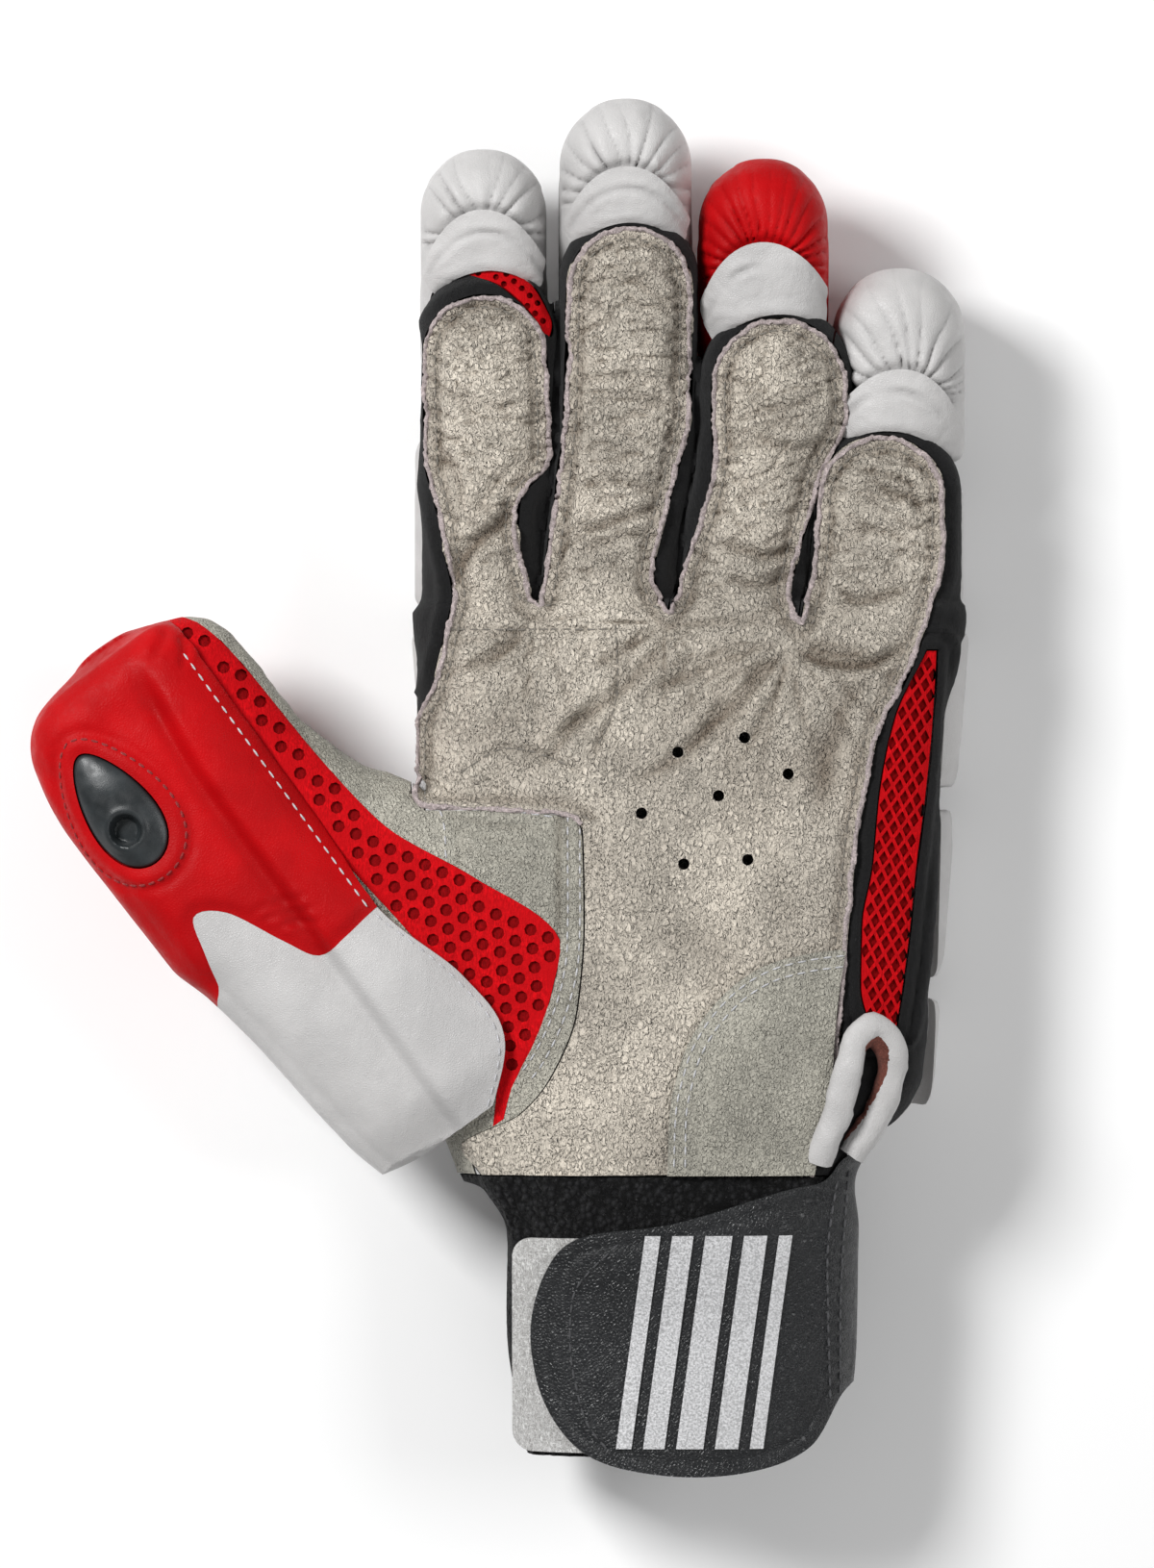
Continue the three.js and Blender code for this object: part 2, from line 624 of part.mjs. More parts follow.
function buildSkin() {
  const front = leatherFront(0);
  const behindFront = leatherFront(SEAM_GAP);
  const upper = upperHalf(0);
  const thumbPart = thumbZone(0);
  const thumbMesh = thumbMeshPrism(0);
  const body = zone(SEAM_GAP / 2, null);
  addPiece("palm_leather", skin.intersect(front).subtract(airHoles()), GREY_LEATHER);
  addPiece("thumb_mesh", skin.intersect(thumbMesh).intersect(thumbPart), RED_MESH);
  addPiece(
    "thumb_leather",
    skin.intersect(thumbPart).intersect(zone(SEAM_GAP / 2, SPREAD)).subtract(thumbMeshPrism(SEAM_GAP))
      .subtract(behindFront),
    GREY_LEATHER,
  );
  const rest = skin.subtract(behindFront).subtract(thumbZone(SEAM_GAP));
  const side = rest.intersect(body).intersect(box(0, SPREAD, -SPREAD, SPREAD)).intersect(upper);
  addPiece("side_band", side.subtract(sideMeshPrism(SEAM_GAP)), BLACK_FABRIC);
  addPiece("side_mesh", side.intersect(sideMeshPrism(0)), RED_MESH);
  const besideBand = box(0, SPREAD, -SPREAD, SPREAD).intersect(upperHalf(SEAM_GAP));
  const besideIndex = (grow) =>
    box(-SPREAD, -PALM_WIDTH / 4, 0.8 * PALM_LENGTH - grow, SPREAD).intersect(upperHalf(grow));
  addPiece("index_band", rest.intersect(body).intersect(besideIndex(0)), BLACK_FABRIC);
  const back = rest.intersect(body).subtract(besideBand).subtract(besideIndex(SEAM_GAP));
  addPiece("back_panel", back, WHITE_LEATHER);
  const corner = standing([
    [0.19 * CUFF_WIDTH, -1.07 * CUFF_LENGTH], [SPREAD, -1.07 * CUFF_LENGTH],
    [SPREAD, -0.63 * CUFF_LENGTH], [0.52 * CUFF_WIDTH, -0.63 * CUFF_LENGTH],
  ]);
  addPiece("cuff", rest.intersect(zone(-SPREAD, -SEAM_GAP / 2)).subtract(corner), TOWELLING);
  return rest.intersect(zone(null, SPREAD));
}

// Each finger's side walls and back, and the red mesh let into the index finger's tip.
function buildGussets(fingerSkin) {
  const edges = FINGERS.slice(1).map((finger, i) => (y) => {
    const before = FINGERS[i];
    return (before.centreAt(y) + before.halfAt(y) + finger.centreAt(y) - finger.halfAt(y)) / 2;
  });
  const ys = [0.94, 1.0, 1.1, 1.25, 1.4, 1.55, 1.8].map((share) => share * PALM_LENGTH);
  FINGERS.forEach((finger, i) => {
    const leftEdge = i === 0 ? () => -SPREAD : (y) => edges[i - 1](y) + SEAM_GAP / 2;
    const rightEdge = i === 3 ? () => SPREAD : (y) => edges[i](y) - SEAM_GAP / 2;
    const rows = ys.map((y) => ({ y, left: leftEdge(y), right: rightEdge(y) }));
    let gusset = fingerSkin.intersect(standing(stripOutline(rows)));
    if (finger.name === "index") {
      addPiece("index_mesh", gusset.intersect(indexMeshPrism(finger, 0)), RED_MESH);
      gusset = gusset.subtract(indexMeshPrism(finger, SEAM_GAP));
    }
    addPiece("gusset_" + finger.name, gusset, BLACK_FABRIC);
  });
}

// Crescent between the leather front and the stall's black edge.
function indexMeshPrism(finger, grow) {
  const radius = finger.halfAt(finger.tipY);
  const edge = FINGER_WIDTH / 16;
  const [x, y] = [finger.centreAt(finger.tipY), finger.tipY - radius];
  const arc = (rise, reach, from, to) =>
    [0, 0.25, 0.5, 0.75, 1].map((share) => {
      const turn = THREE.MathUtils.degToRad(from + share * (to - from));
      return [x + reach * Math.cos(turn), y + (reach + rise) * Math.sin(turn)];
    });
  const outer = radius - edge + grow;
  const inner = outer - finger.edgeAt("right", finger.tipY) - 2 * grow;
  const spare = grow * 8;
  const outline = [...arc(0, outer, -8 - spare, 104 + spare), ...arc(-edge, inner, 116 + spare, -20 - spare)];
  const floor = above(levelYs(finger), (py) => finger.middleAt(py) + FINGER_DEPTH / 12 - grow);
  return standing(outline).intersect(floor);
}

// Quarter-round patch on the heel of the palm
function buildPatch() {
  const right = (y) => along(palmEdge, "right", y) - PATCH_WIDTH / 20;
  const arc = [0, 18, 36, 54, 72, 90].map((angle) => {
    const turn = THREE.MathUtils.degToRad(angle);
    const y = SEAM_GAP + PATCH_LENGTH * Math.sin(turn);
    return [right(y) - PATCH_WIDTH * Math.cos(turn), y];
  });
  const edge = [0.75, 0.5, 0.25, 0].map((share) => {
    const y = SEAM_GAP + share * PATCH_LENGTH;
    return [right(y), y];
  });
  const outline = [...arc.slice(0, -1), [right(arc[5][1]) - PATCH_WIDTH / 11, arc[5][1]], ...edge].reverse();
  const layer = handSolid(SEAM_GAP + PATCH_WALL).subtract(hand);
  const floor = upperHalf(-PALM_DEPTH / 5);
  addPiece("heel_patch", layer.intersect(standing(outline)).intersect(floor), GREY_LEATHER);
}

// Strap and its fastening pad round the cuff

// Shares of STRAP_WIDTH below the heel, and of CUFF_WIDTH across: the strap's outline over the palm side.
const STRAP_EDGE = [
  { across: 0.7, down: -0.09 },
  { across: 0.5, down: -0.09 },
  { across: 0.42, down: 0.02 },
  { across: 0.3, down: 0.06 },
  { across: 0.0, down: 0.19 },
  { across: -0.26, down: 0.25 },
  { across: -0.36, down: 0.4 },
  { across: -0.4, down: 0.66 },
  { across: -0.36, down: 0.94 },
  { across: -0.24, down: 1.15 },
  { across: -0.03, down: 1.23 },
  { across: 0.2, down: 1.22 },
  { across: 0.38, down: 1.12 },
  { across: 0.5, down: 0.87 },
  { across: 0.7, down: 0.85 },
];

function cuffLayer(inner, outer) {
  const reach = STRAP_WIDTH / 4;
  const outside = loft(bodySections(reach), BODY_SIDES, BODY_BULGE, outer);
  return outside.subtract(loft(bodySections(reach + outer), BODY_SIDES, BODY_BULGE, inner));
}

function buildWrist() {
  const outline = STRAP_EDGE.map((row) => [row.across * CUFF_WIDTH, -row.down * STRAP_WIDTH]).reverse();
  const front = upperHalf(0);
  const over = standing(outline).intersect(front);
  const under = box(0.12 * CUFF_WIDTH, SPREAD, -0.85 * STRAP_WIDTH, -0.02 * STRAP_WIDTH)
    .subtract(upperHalf(-SEAM_GAP / 2));
  const beside = box(CUFF_WIDTH / 2, SPREAD, -0.85 * STRAP_WIDTH, -0.02 * STRAP_WIDTH);
  const padLow = SEAM_GAP;
  const strapLow = padLow + TAB_WALL + SEAM_GAP;
  const strap = cuffLayer(strapLow, strapLow + STRAP_WALL).intersect(join([over, under, beside]));
  addPiece("strap", strap.subtract(hand).subtract(loopSolid(SEAM_GAP)), BLACK_LEATHER);
  const [left, right] = [-0.452 * CUFF_WIDTH, 0.3 * CUFF_WIDTH];
  const [near, far] = [-0.985 * CUFF_LENGTH, -0.22 * CUFF_LENGTH];
  const corner = 0.07 * CUFF_WIDTH;
  const pad = standing([
    [left + corner, near], [right, near], [right, far],
    [left + corner, far], [left + corner * 0.3, far - corner * 0.3], [left, far - corner],
    [left, near + corner], [left + corner * 0.3, near + corner * 0.3],
  ]).intersect(front);
  addPiece("strap_pad", cuffLayer(padLow, padLow + TAB_WALL).intersect(pad), HOOK_FABRIC);
}

// Rolled leather loop at the heel's outer corner
function loopSolid(grow) {
  const [x, y] = [0.355 * PALM_WIDTH, 0.03 * PALM_LENGTH];
  const height = LOOP_CORD / 2 + SEAM_GAP;
  const level = (px, py) => {
    const centre = (along(BODY, "left", py) + along(BODY, "right", py)) / 2;
    const share = Math.min(0.93, Math.abs(px - centre) / along(BODY, "half", py));
    return bodyMiddle(py) + along(BODY, "depth", py) * (1 - share ** BODY_BULGE) ** (1 / BODY_BULGE);
  };
  // Shares of LOOP_WIDTH to the outer side and of LOOP_LENGTH up the loop.
  const route = [
    { across: -0.84, up: -0.02 },
    { across: -0.53, up: 0.3 },
    { across: -0.31, up: 0.62 },
    { across: -0.14, up: 0.87 },
    { across: 0.18, up: 0.98 },
    { across: 0.5, up: 0.86 },
    { across: 0.54, up: 0.64 },
    { across: 0.29, up: 0.34 },
    { across: -0.22, up: 0.03 },
  ].map((row) => {
    const [px, py] = [x + row.across * LOOP_WIDTH, y + row.up * LOOP_LENGTH];
    return new THREE.Vector3(px, py, level(px, py) + height + LOOP_CORD / 8);
  });
  const section = new THREE.Shape();
  section.absarc(0, 0, LOOP_CORD / 2 + grow, 0, Math.PI * 2);
  const geometry = new THREE.ExtrudeGeometry(section, {
    steps: 10,
    curveSegments: 4,
    bevelEnabled: false,
    extrudePath: new THREE.CatmullRomCurve3(route),
  });
  return solidOf(geometry);
}

function buildLoop() {
  const patchTop = handSolid(SEAM_GAP * 2 + PATCH_WALL).intersect(leatherFront(0));
  addPiece("pull_loop", loopSolid(0).subtract(hand).subtract(patchTop), WHITE_LEATHER);
}

// Padded rolls

// Shares along a roll, and of its full width and depth.
const ROLL_ENDS = [
  { at: 0.0, width: 0.76, depth: 0.62 },
  { at: 0.14, width: 1.0, depth: 1.0 },
  { at: 0.86, width: 1.0, depth: 1.0 },
  { at: 1.0, width: 0.76, depth: 0.62 },
];

const ROLL_BULGE = 2.8;

// A padded roll between two heights up the glove, whose foot is flattened where it rests.
function roll(near, far, centreAt, halfAt, lowAt, highAt, rows = ROLL_ENDS) {
  const sections = rows.map((row) => {
    const y = near + row.at * (far - near);
    const [low, high] = [lowAt(y), highAt(y)];
    const half = halfAt(y) * row.width;
    const depth = ((high - low) / 2) * row.depth;
    return { centre: new THREE.Vector3(centreAt(y), y, (low + high) / 2), half, depth };
  });
  return loft(sections, ROLL_SIDES, ROLL_BULGE).trimByPlane([0, 0, 1], 0);
}

// Columns of rolls behind the palm: edges as shares of PALM_WIDTH at the heel and at the knuckles.
const COLUMNS = [
  { name: "index", heel: [-0.42, -0.19], knuckle: [-0.505, -0.225] },
  { name: "middle", heel: [-0.19, 0.03], knuckle: [-0.225, 0.038] },
  { name: "ring", heel: [0.03, 0.25], knuckle: [0.038, 0.297] },
  { name: "little", heel: [0.25, 0.485], knuckle: [0.297, 0.565] },
];

// Rows of rolls behind the palm, as shares of PALM_LENGTH up from the heel.
const BACK_ROWS = [
  { name: "wrist", near: 0.1, far: 0.325 },
  { name: "hand", near: 0.325, far: 0.66 },
  { name: "knuckle", near: 0.66, far: 0.98 },
];

const REST_SINK = 1;

function buildBackRolls() {
  for (const row of BACK_ROWS) {
    COLUMNS.forEach((column) => {
      const edge = (side, y) => {
        const share = y / PALM_LENGTH;
        return PALM_WIDTH * (column.heel[side] + share * (column.knuckle[side] - column.heel[side]));
      };
      const centreAt = (y) => (edge(0, y) + edge(1, y)) / 2;
      const halfAt = (y) => (edge(1, y) - edge(0, y) - ROLL_SPACING) / 2;
      const near = row.near * PALM_LENGTH + ROLL_SPACING / 2;
      const far = row.far * PALM_LENGTH - ROLL_SPACING / 2;
      const highAt = (y) => bodyMiddle(y) - PALM_DEPTH / 8;
      const pad = roll(near, far, centreAt, halfAt, () => -REST_SINK, highAt);
      addPiece(row.name + "_roll_" + column.name, pad.subtract(hand), WHITE_LEATHER);
    });
  }
}

// A finger's padded tip: a roll under the stall whose far end is a full dome that rises past the stall's tip.
function tipRoll(finger, grow) {
  const near = finger.webY + finger.split * finger.length + ROLL_SPACING / 2;
  const half = (finger.wide * ROLL_WIDTH - ROLL_SPACING) / 2;
  const far = finger.tipY + finger.reach * TIP_REACH;
  const radius = finger.halfAt(finger.tipY);
  const domeY = far - half;
  const rise = (y) => THREE.MathUtils.smoothstep(y, finger.tipY - radius, finger.tipY);
  const starts = [
    { share: 0, turn: 0.7 },
    { share: 0.14, turn: 1 },
    { share: 0.6, turn: 1 },
  ].map((row) => ({ y: near + row.share * (domeY - near), turn: row.turn }));
  const dome = [0, ...ARC_ANGLES].map((angle) => {
    const turn = THREE.MathUtils.degToRad(angle);
    return { y: domeY + half * Math.sin(turn), turn: Math.cos(turn) };
  });
  const sections = [...starts, ...dome].map((row) => {
    const low = finger.liftAt(row.y);
    const high = finger.middleAt(row.y) - FINGER_DEPTH / 10 + rise(row.y) * FINGER_DEPTH * 0.42;
    return {
      centre: new THREE.Vector3(finger.cap * PALM_WIDTH, row.y, (low + high) / 2),
      half: half * row.turn,
      depth: ((high - low) / 2) * row.turn ** 0.8,
    };
  });
  return loft(sections, ROLL_SIDES, ROLL_BULGE, grow);
}

// The band's outline over the tip's shoulder: a crescent round the stall's tip.
function bandOutline(finger) {
  const radius = finger.halfAt(finger.tipY) + SEAM_GAP;
  const [x, y] = [finger.centreAt(finger.tipY), finger.tipY - radius + SEAM_GAP];
  const arc = (length) =>
    [180, 150, 120, 90, 60, 30, 0].map((angle) => {
      const turn = THREE.MathUtils.degToRad(angle);
      const lean = ((finger.cap * PALM_WIDTH - x) * length * Math.sin(turn)) / BAND_LENGTH;
      return [x + lean + (radius + length / 8) * Math.cos(turn), y + (radius + length) * Math.sin(turn)];
    });
  return [...arc(BAND_LENGTH).reverse(), ...arc(0)];
}

function buildFingerRolls() {
  for (const finger of FINGERS) {
    const half = (finger.wide * ROLL_WIDTH - ROLL_SPACING) / 2;
    const lowAt = (y) => finger.liftAt(y);
    const highAt = (y) => finger.middleAt(y) - FINGER_DEPTH / 10;
    const base = BACK_ROWS[2].far * PALM_LENGTH + ROLL_SPACING / 2;
    const splitY = finger.webY + finger.split * finger.length;
    const mid = roll(base, splitY - ROLL_SPACING / 2, () => finger.mid * PALM_WIDTH, () => half, lowAt, highAt);
    addPiece("mid_roll_" + finger.name, mid.subtract(hand), WHITE_LEATHER);
    const colour = finger.name === "ring" ? RED_LEATHER : WHITE_LEATHER;
    addPiece("tip_roll_" + finger.name, tipRoll(finger, 0).subtract(hand), colour);
    const capX = finger.cap * PALM_WIDTH;
    const shoulder = above(levelYs(finger), (y) => finger.middleAt(y) + FINGER_DEPTH / 10);
    const band = tipRoll(finger, SEAM_GAP + BAND_WALL)
      .subtract(tipRoll(finger, SEAM_GAP))
      .intersect(standing(bandOutline(finger)))
      .intersect(box(capX - half, capX + half, -SPREAD, SPREAD))
      .intersect(shoulder);
    addPiece("tip_band_" + finger.name, band.subtract(hand), WHITE_LEATHER);
  }
}

// Thumb guard, in two padded pieces, and its vent

// The upper piece's lower edge: shares of GUARD_WIDTH across from the stitched edge and of THUMB_LENGTH.
const GUARD_EDGE = [
  { across: 0.3, up: 0.39 },
  { across: 0.0, up: 0.385 },
  { across: -0.36, up: 0.375 },
  { across: -0.46, up: 0.43 },
  { across: -0.6, up: 0.52 },
  { across: -0.75, up: 0.545 },
  { across: -0.88, up: 0.42 },
  { across: -1.3, up: 0.4 },
];

function guardTop(grow) {
  const edge = GUARD_EDGE.map((row) => thumbPlace(row.across * GUARD_WIDTH, row.up * THUMB_LENGTH - grow));
  const reach = 1.5 * THUMB_LENGTH;
  const far = [thumbPlace(-1.3 * GUARD_WIDTH, reach), thumbPlace(0.3 * GUARD_WIDTH, reach)];
  return standing([...edge, ...far].reverse());
}

// Drop-shaped outline of the vent, round at its lower end.
function ventOutline(grow) {
  const [across, up] = [-0.73 * GUARD_WIDTH, 0.76 * THUMB_LENGTH];
  const turns = [0, 30, 60, 90, 120, 150, 180, 210, 240, 270, 300, 330];
  return turns.map((angle) => {
    const turn = THREE.MathUtils.degToRad(angle);
    const narrow = 1 - 0.28 * Math.cos(turn);
    return thumbPlace(
      across + (VENT_WIDTH / 2 + grow) * Math.sin(turn) * narrow,
      up + (VENT_LENGTH / 2 + grow) * Math.cos(turn),
    );
  }).reverse();
}

function buildGuard() {
  const stitched = standing([
    thumbPlace(-SPREAD, -0.1 * THUMB_LENGTH),
    ...GUARD_SEAM.map((row) => thumbPlace(row.across * GUARD_WIDTH, row.up * THUMB_LENGTH)),
    thumbPlace(-SPREAD, 1.5 * THUMB_LENGTH),
  ]);
  const besideBody = standing(
    [...BODY.map((row) => [row.left - SKIN_WALL, row.at]), [SPREAD, PALM_LENGTH], [SPREAD, -CUFF_LENGTH]].reverse(),
    -TOP,
    THUMB_MIDDLE,
  );
  const stall = thumbLoft(SEAM_GAP);
  const guard = guardLoft(0).intersect(stitched).subtract(stall).subtract(hand).subtract(besideBody);
  const pocketFloor = THUMB_MIDDLE + GUARD_DEPTH / 2 + THUMB_CURL * 0.7 - VENT_WALL;
  const pocket = standing(ventOutline(SEAM_GAP), pocketFloor - SEAM_GAP);
  const vent = standing(ventOutline(0), pocketFloor).intersect(guardLoft(0.8));
  addPiece("thumb_guard", guard.intersect(guardTop(0)).subtract(pocket), RED_LEATHER);
  addPiece("thumb_guard_base", guard.subtract(guardTop(SEAM_GAP)), WHITE_LEATHER);
  addPiece("thumb_vent", vent, RUBBER);
}

const fingerSkin = buildSkin();
buildGussets(fingerSkin);
buildPatch();
buildWrist();
buildLoop();
buildBackRolls();
buildFingerRolls();
buildGuard();

// The origin is the middle of the glove's footprint, at the level it rests on.
const extent = new THREE.Box3().setFromObject(glove);
const middle = extent.getCenter(new THREE.Vector3());
glove.position.set(-middle.x, -middle.y, -extent.min.z);

export default glove;
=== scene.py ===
"""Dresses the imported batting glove: leather, felt, mesh, padding, stitching, floor, light and camera."""
import math

import bmesh
import bpy
import numpy as np
from bpy.props import FloatProperty, FloatVectorProperty, PointerProperty
from bpy.types import Operator, Panel, PropertyGroup
from mathutils import Matrix, Vector, noise
from mathutils.bvhtree import BVHTree
from mathutils.kdtree import KDTree


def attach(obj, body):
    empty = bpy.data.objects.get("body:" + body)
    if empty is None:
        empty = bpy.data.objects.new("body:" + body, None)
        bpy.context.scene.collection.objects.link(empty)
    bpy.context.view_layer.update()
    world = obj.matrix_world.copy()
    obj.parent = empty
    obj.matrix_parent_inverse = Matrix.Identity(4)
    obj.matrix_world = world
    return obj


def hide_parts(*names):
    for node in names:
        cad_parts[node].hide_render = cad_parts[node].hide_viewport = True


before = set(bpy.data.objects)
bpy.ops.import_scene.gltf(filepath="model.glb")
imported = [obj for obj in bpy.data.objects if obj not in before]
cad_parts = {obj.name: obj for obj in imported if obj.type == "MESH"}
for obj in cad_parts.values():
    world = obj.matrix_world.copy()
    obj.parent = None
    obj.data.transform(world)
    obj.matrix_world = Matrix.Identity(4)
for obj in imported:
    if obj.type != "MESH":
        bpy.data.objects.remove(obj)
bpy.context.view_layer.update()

bl_info = {
    "name": "Cricket batting glove",
    "version": (1, 0, 0),
    "blender": (4, 5, 0),
    "location": "3D View > Sidebar > Glove",
    "description": "Dresses the packed glove with its leather, felt, mesh, padding and stitching",
    "category": "Object",
}

# Everything is shaped in millimetres in the hand's own frame: X to the little finger, Y to the fingertips,
# with the origin at the heel. HAND_ORIGIN is that frame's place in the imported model.
MM = 0.001
HAND_ORIGIN = np.array((35.69, -80.80, 0.0))

PALM_WIDTH, PALM_LENGTH, PALM_DEPTH = 110.0, 118.0, 29.0
CUFF_WIDTH, CUFF_LENGTH, CUFF_DEPTH, CUFF_LOW = 74.0, 58.0, 37.0, 10.0
FINGER_WIDTH, FINGER_DEPTH, FINGER_CURL = 28.0, 22.0, 9.0
ROLL_WIDTH, ROLL_DEPTH, ROLL_SPACING = 28.0, 20.0, 0.6
THUMB_LENGTH, THUMB_WIDTH, THUMB_DEPTH, THUMB_CURL = 127.0, 34.0, 27.0, 3.0
GUARD_WIDTH, GUARD_DEPTH = 43.0, 39.0
STRAP_WIDTH, TIP_REACH, BAND_LENGTH = 50.0, 25.0, 11.0
SKIN_WALL, SEAM_GAP = 1.6, 0.35
STRAP_WALL, PAD_WALL = 2.0, 1.2
HOLE_SPREAD, AIR_HOLE_RADIUS = 30.0, 1.2
LOOP_WIDTH, LOOP_LENGTH, LOOP_CORD, LOOP_LIFT = 11.0, 28.0, 6.0, 4.15
# Farther out than any part of the glove, for tools that cut everything on one side.
SPAN = 300.0
# The raw welt and the hem's stitches start here on the thumb's side.
WELT_LOW = 0.61 * PALM_LENGTH
# Rows of stitches beside the saddle's edge, in millimetres.
SADDLE_ROWS = (1.5, 4.0)
THUMB_ROOT = (-0.295 * PALM_WIDTH, 0.137 * PALM_LENGTH)
THUMB_TURN = math.radians(36)
THUMB_MIDDLE = ROLL_DEPTH + PALM_DEPTH / 2
BODY_BULGE, FINGER_BULGE, THUMB_BULGE, GUARD_BULGE, ROLL_BULGE = 2.6, 2.3, 2.5, 3.2, 2.8

# Share of the palm's length; left and right as shares of its width; low and high as shares of its depth.
PALM_ROWS = (
    (0.0, -0.373, 0.312, -0.22, 1.0), (0.16, -0.44, 0.444, -0.05, 1.02), (0.34, -0.464, 0.467, 0.0, 1.02),
    (0.8, -0.468, 0.502, 0.0, 0.93), (0.985, -0.464, 0.54, 0.0, 0.79),
)
# The same for the cuff, from the wrist's mouth to the heel.
CUFF_ROWS = ((-1.2, -0.41, 0.41, 0.0, 1.0), (-1.0, -0.43, 0.43, 0.0, 1.0), (-0.6, -0.48, 0.465, 0.0, 1.0),
             (-0.2, -0.49, 0.47, 0.06, 1.06))
# Share of a finger's length from its web; centre as a share of the palm's width; half width and the dark edge
# seen at the left and at the right as shares of the finger's width.
FINGERS = {
    "index": dict(length=71.0, web=1.0, split=0.53, front=0.9, reach=0.96, mid=-0.37, cap=-0.359, wide=0.975,
                  rows=(
        (-0.25, -0.36, 0.38, 0.2, 0.05), (0.0, -0.367, 0.432, 0.25, 0.045),
        (0.2, -0.363, 0.441, 0.155, 0.168),
        (0.3, -0.359, 0.463, 0.11, 0.196), (0.43, -0.352, 0.493, 0.04, 0.03),
        (1.0, -0.348, 0.487, 0.0, 0.11))),
    "middle": dict(length=82.0, web=0.99, split=0.55, front=0.965, reach=0.98, mid=-0.09, cap=-0.09,
                   wide=1.02, rows=(
        (-0.25, -0.134, 0.42, 0.05, 0.05), (0.0, -0.134, 0.5, 0.03, 0.04), (0.1, -0.125, 0.509, 0.055, 0.175),
        (0.35, -0.099, 0.518, 0.057, 0.107), (0.5, -0.088, 0.51, 0.05, 0.04),
        (1.0, -0.083, 0.5, 0.05, 0.04))),
    "ring": dict(length=65.0, web=0.975, split=0.54, front=0.955, reach=1.24, mid=0.171, cap=0.171, wide=1.0,
                 rows=(
        (-0.25, 0.11, 0.42, 0.05, 0.05), (0.0, 0.109, 0.51, 0.04, 0.04), (0.1, 0.125, 0.48, 0.03, 0.115),
        (0.45, 0.158, 0.486, 0.15, 0.02), (0.65, 0.196, 0.558, 0.08, 0.043),
        (1.0, 0.195, 0.548, 0.085, 0.057))),
    "little": dict(length=43.0, web=0.958, split=0.77, front=0.93, reach=1.3, mid=0.428, cap=0.428, wide=1.02,
                   rows=(
        (-0.4, 0.37, 0.46, 0.05, 0.13), (0.0, 0.384, 0.61, 0.04, 0.25), (0.35, 0.4, 0.57, 0.05, 0.14),
        (1.0, 0.406, 0.55, 0.05, 0.15))),
}
MIDDLE_LENGTH = FINGERS["middle"]["length"]
# Share of the thumb's length; inner and outer sides as shares of the width; depth.
THUMB_ROWS = (
    (0.1, 1.5, 0.2, 0.86), (0.25, 1.3, -0.3, 0.98), (0.42, 0.87, -0.72, 1.0), (0.5, 0.6, -0.72, 1.0),
    (0.59, 0.4, -0.72, 1.0), (0.73, 0.28, -0.72, 0.98), (0.88, 0.25, -0.66, 0.9), (0.95, 0.12, -0.52, 0.68),
    (0.97, 0.0, -0.38, 0.5),
)
GUARD_ROWS = (
    (0.015, 0.3, -0.74, 0.7), (0.1, 0.3, -0.8, 0.9), (0.42, 0.14, -0.92, 1.0), (0.5, 0.06, -0.985, 1.0),
    (0.78, 0.06, -1.01, 0.99), (0.89, 0.06, -0.96, 0.9), (0.96, 0.02, -0.82, 0.68), (0.985, -0.1, -0.6, 0.4),
)
# Share of the palm's length; the leather's left and right edges as shares of its width.
PALM_EDGE = (
    (-0.02, -0.35, 0.26), (0.0, -0.36, 0.262), (0.05, -0.4, 0.272), (0.11, -0.285, 0.285),
    (0.18, -0.225, 0.3),
    (0.29, -0.18, 0.315), (0.44, -0.167, 0.328), (0.6, -0.17, 0.346), (0.635, -0.2, 0.352),
    (0.65, -0.49, 0.356),
    (0.78, -0.49, 0.385), (0.86, -0.452, 0.43), (0.95, -0.43, 0.468), (1.05, -0.41, 0.485),
)
THUMB_MESH = (
    (-0.015, -0.22, -0.14), (0.02, -0.1, 0.02), (0.054, 0.0, 0.27), (0.106, 0.08, 0.55), (0.178, 0.1, 0.785),
    (0.33, 0.06, 0.58), (0.5, 0.0, 0.31), (0.65, 0.0, 0.24), (0.86, 0.0, 0.19),
    (0.93, -0.02, 0.13), (0.965, -0.06, 0.04),
)
SIDE_MESH = (
    (0.26, 0.37, 0.418), (0.33, 0.352, 0.43), (0.44, 0.354, 0.445), (0.54, 0.374, 0.456),
    (0.66, 0.386, 0.473),
    (0.8, 0.416, 0.488), (0.92, 0.477, 0.495),
)
# The guard's stitched edge and the upper piece's lower edge: shares of its width across, of the length up.
GUARD_SEAM = ((-0.5, -0.1), (-0.16, 0.0), (0.13, 0.095), (0.135, 0.217), (0.0, 0.385), (0.0, 0.6), (0.0, 1.5))
GUARD_EDGE = ((0.3, 0.39), (0.0, 0.385), (-0.2, 0.376), (-0.36, 0.375), (-0.46, 0.43), (-0.6, 0.52),
              (-0.75, 0.545),
              (-0.82, 0.48), (-0.88, 0.42), (-0.97, 0.4), (-1.3, 0.4))
STRAP_EDGE = (
    (0.7, -0.09), (0.5, -0.09), (0.42, 0.02), (0.3, 0.06), (0.0, 0.19), (-0.26, 0.25), (-0.36, 0.4),
    (-0.4, 0.66),
    (-0.36, 0.94), (-0.24, 1.15), (-0.03, 1.23), (0.2, 1.22), (0.38, 1.12), (0.5, 0.87), (0.7, 0.85),
)
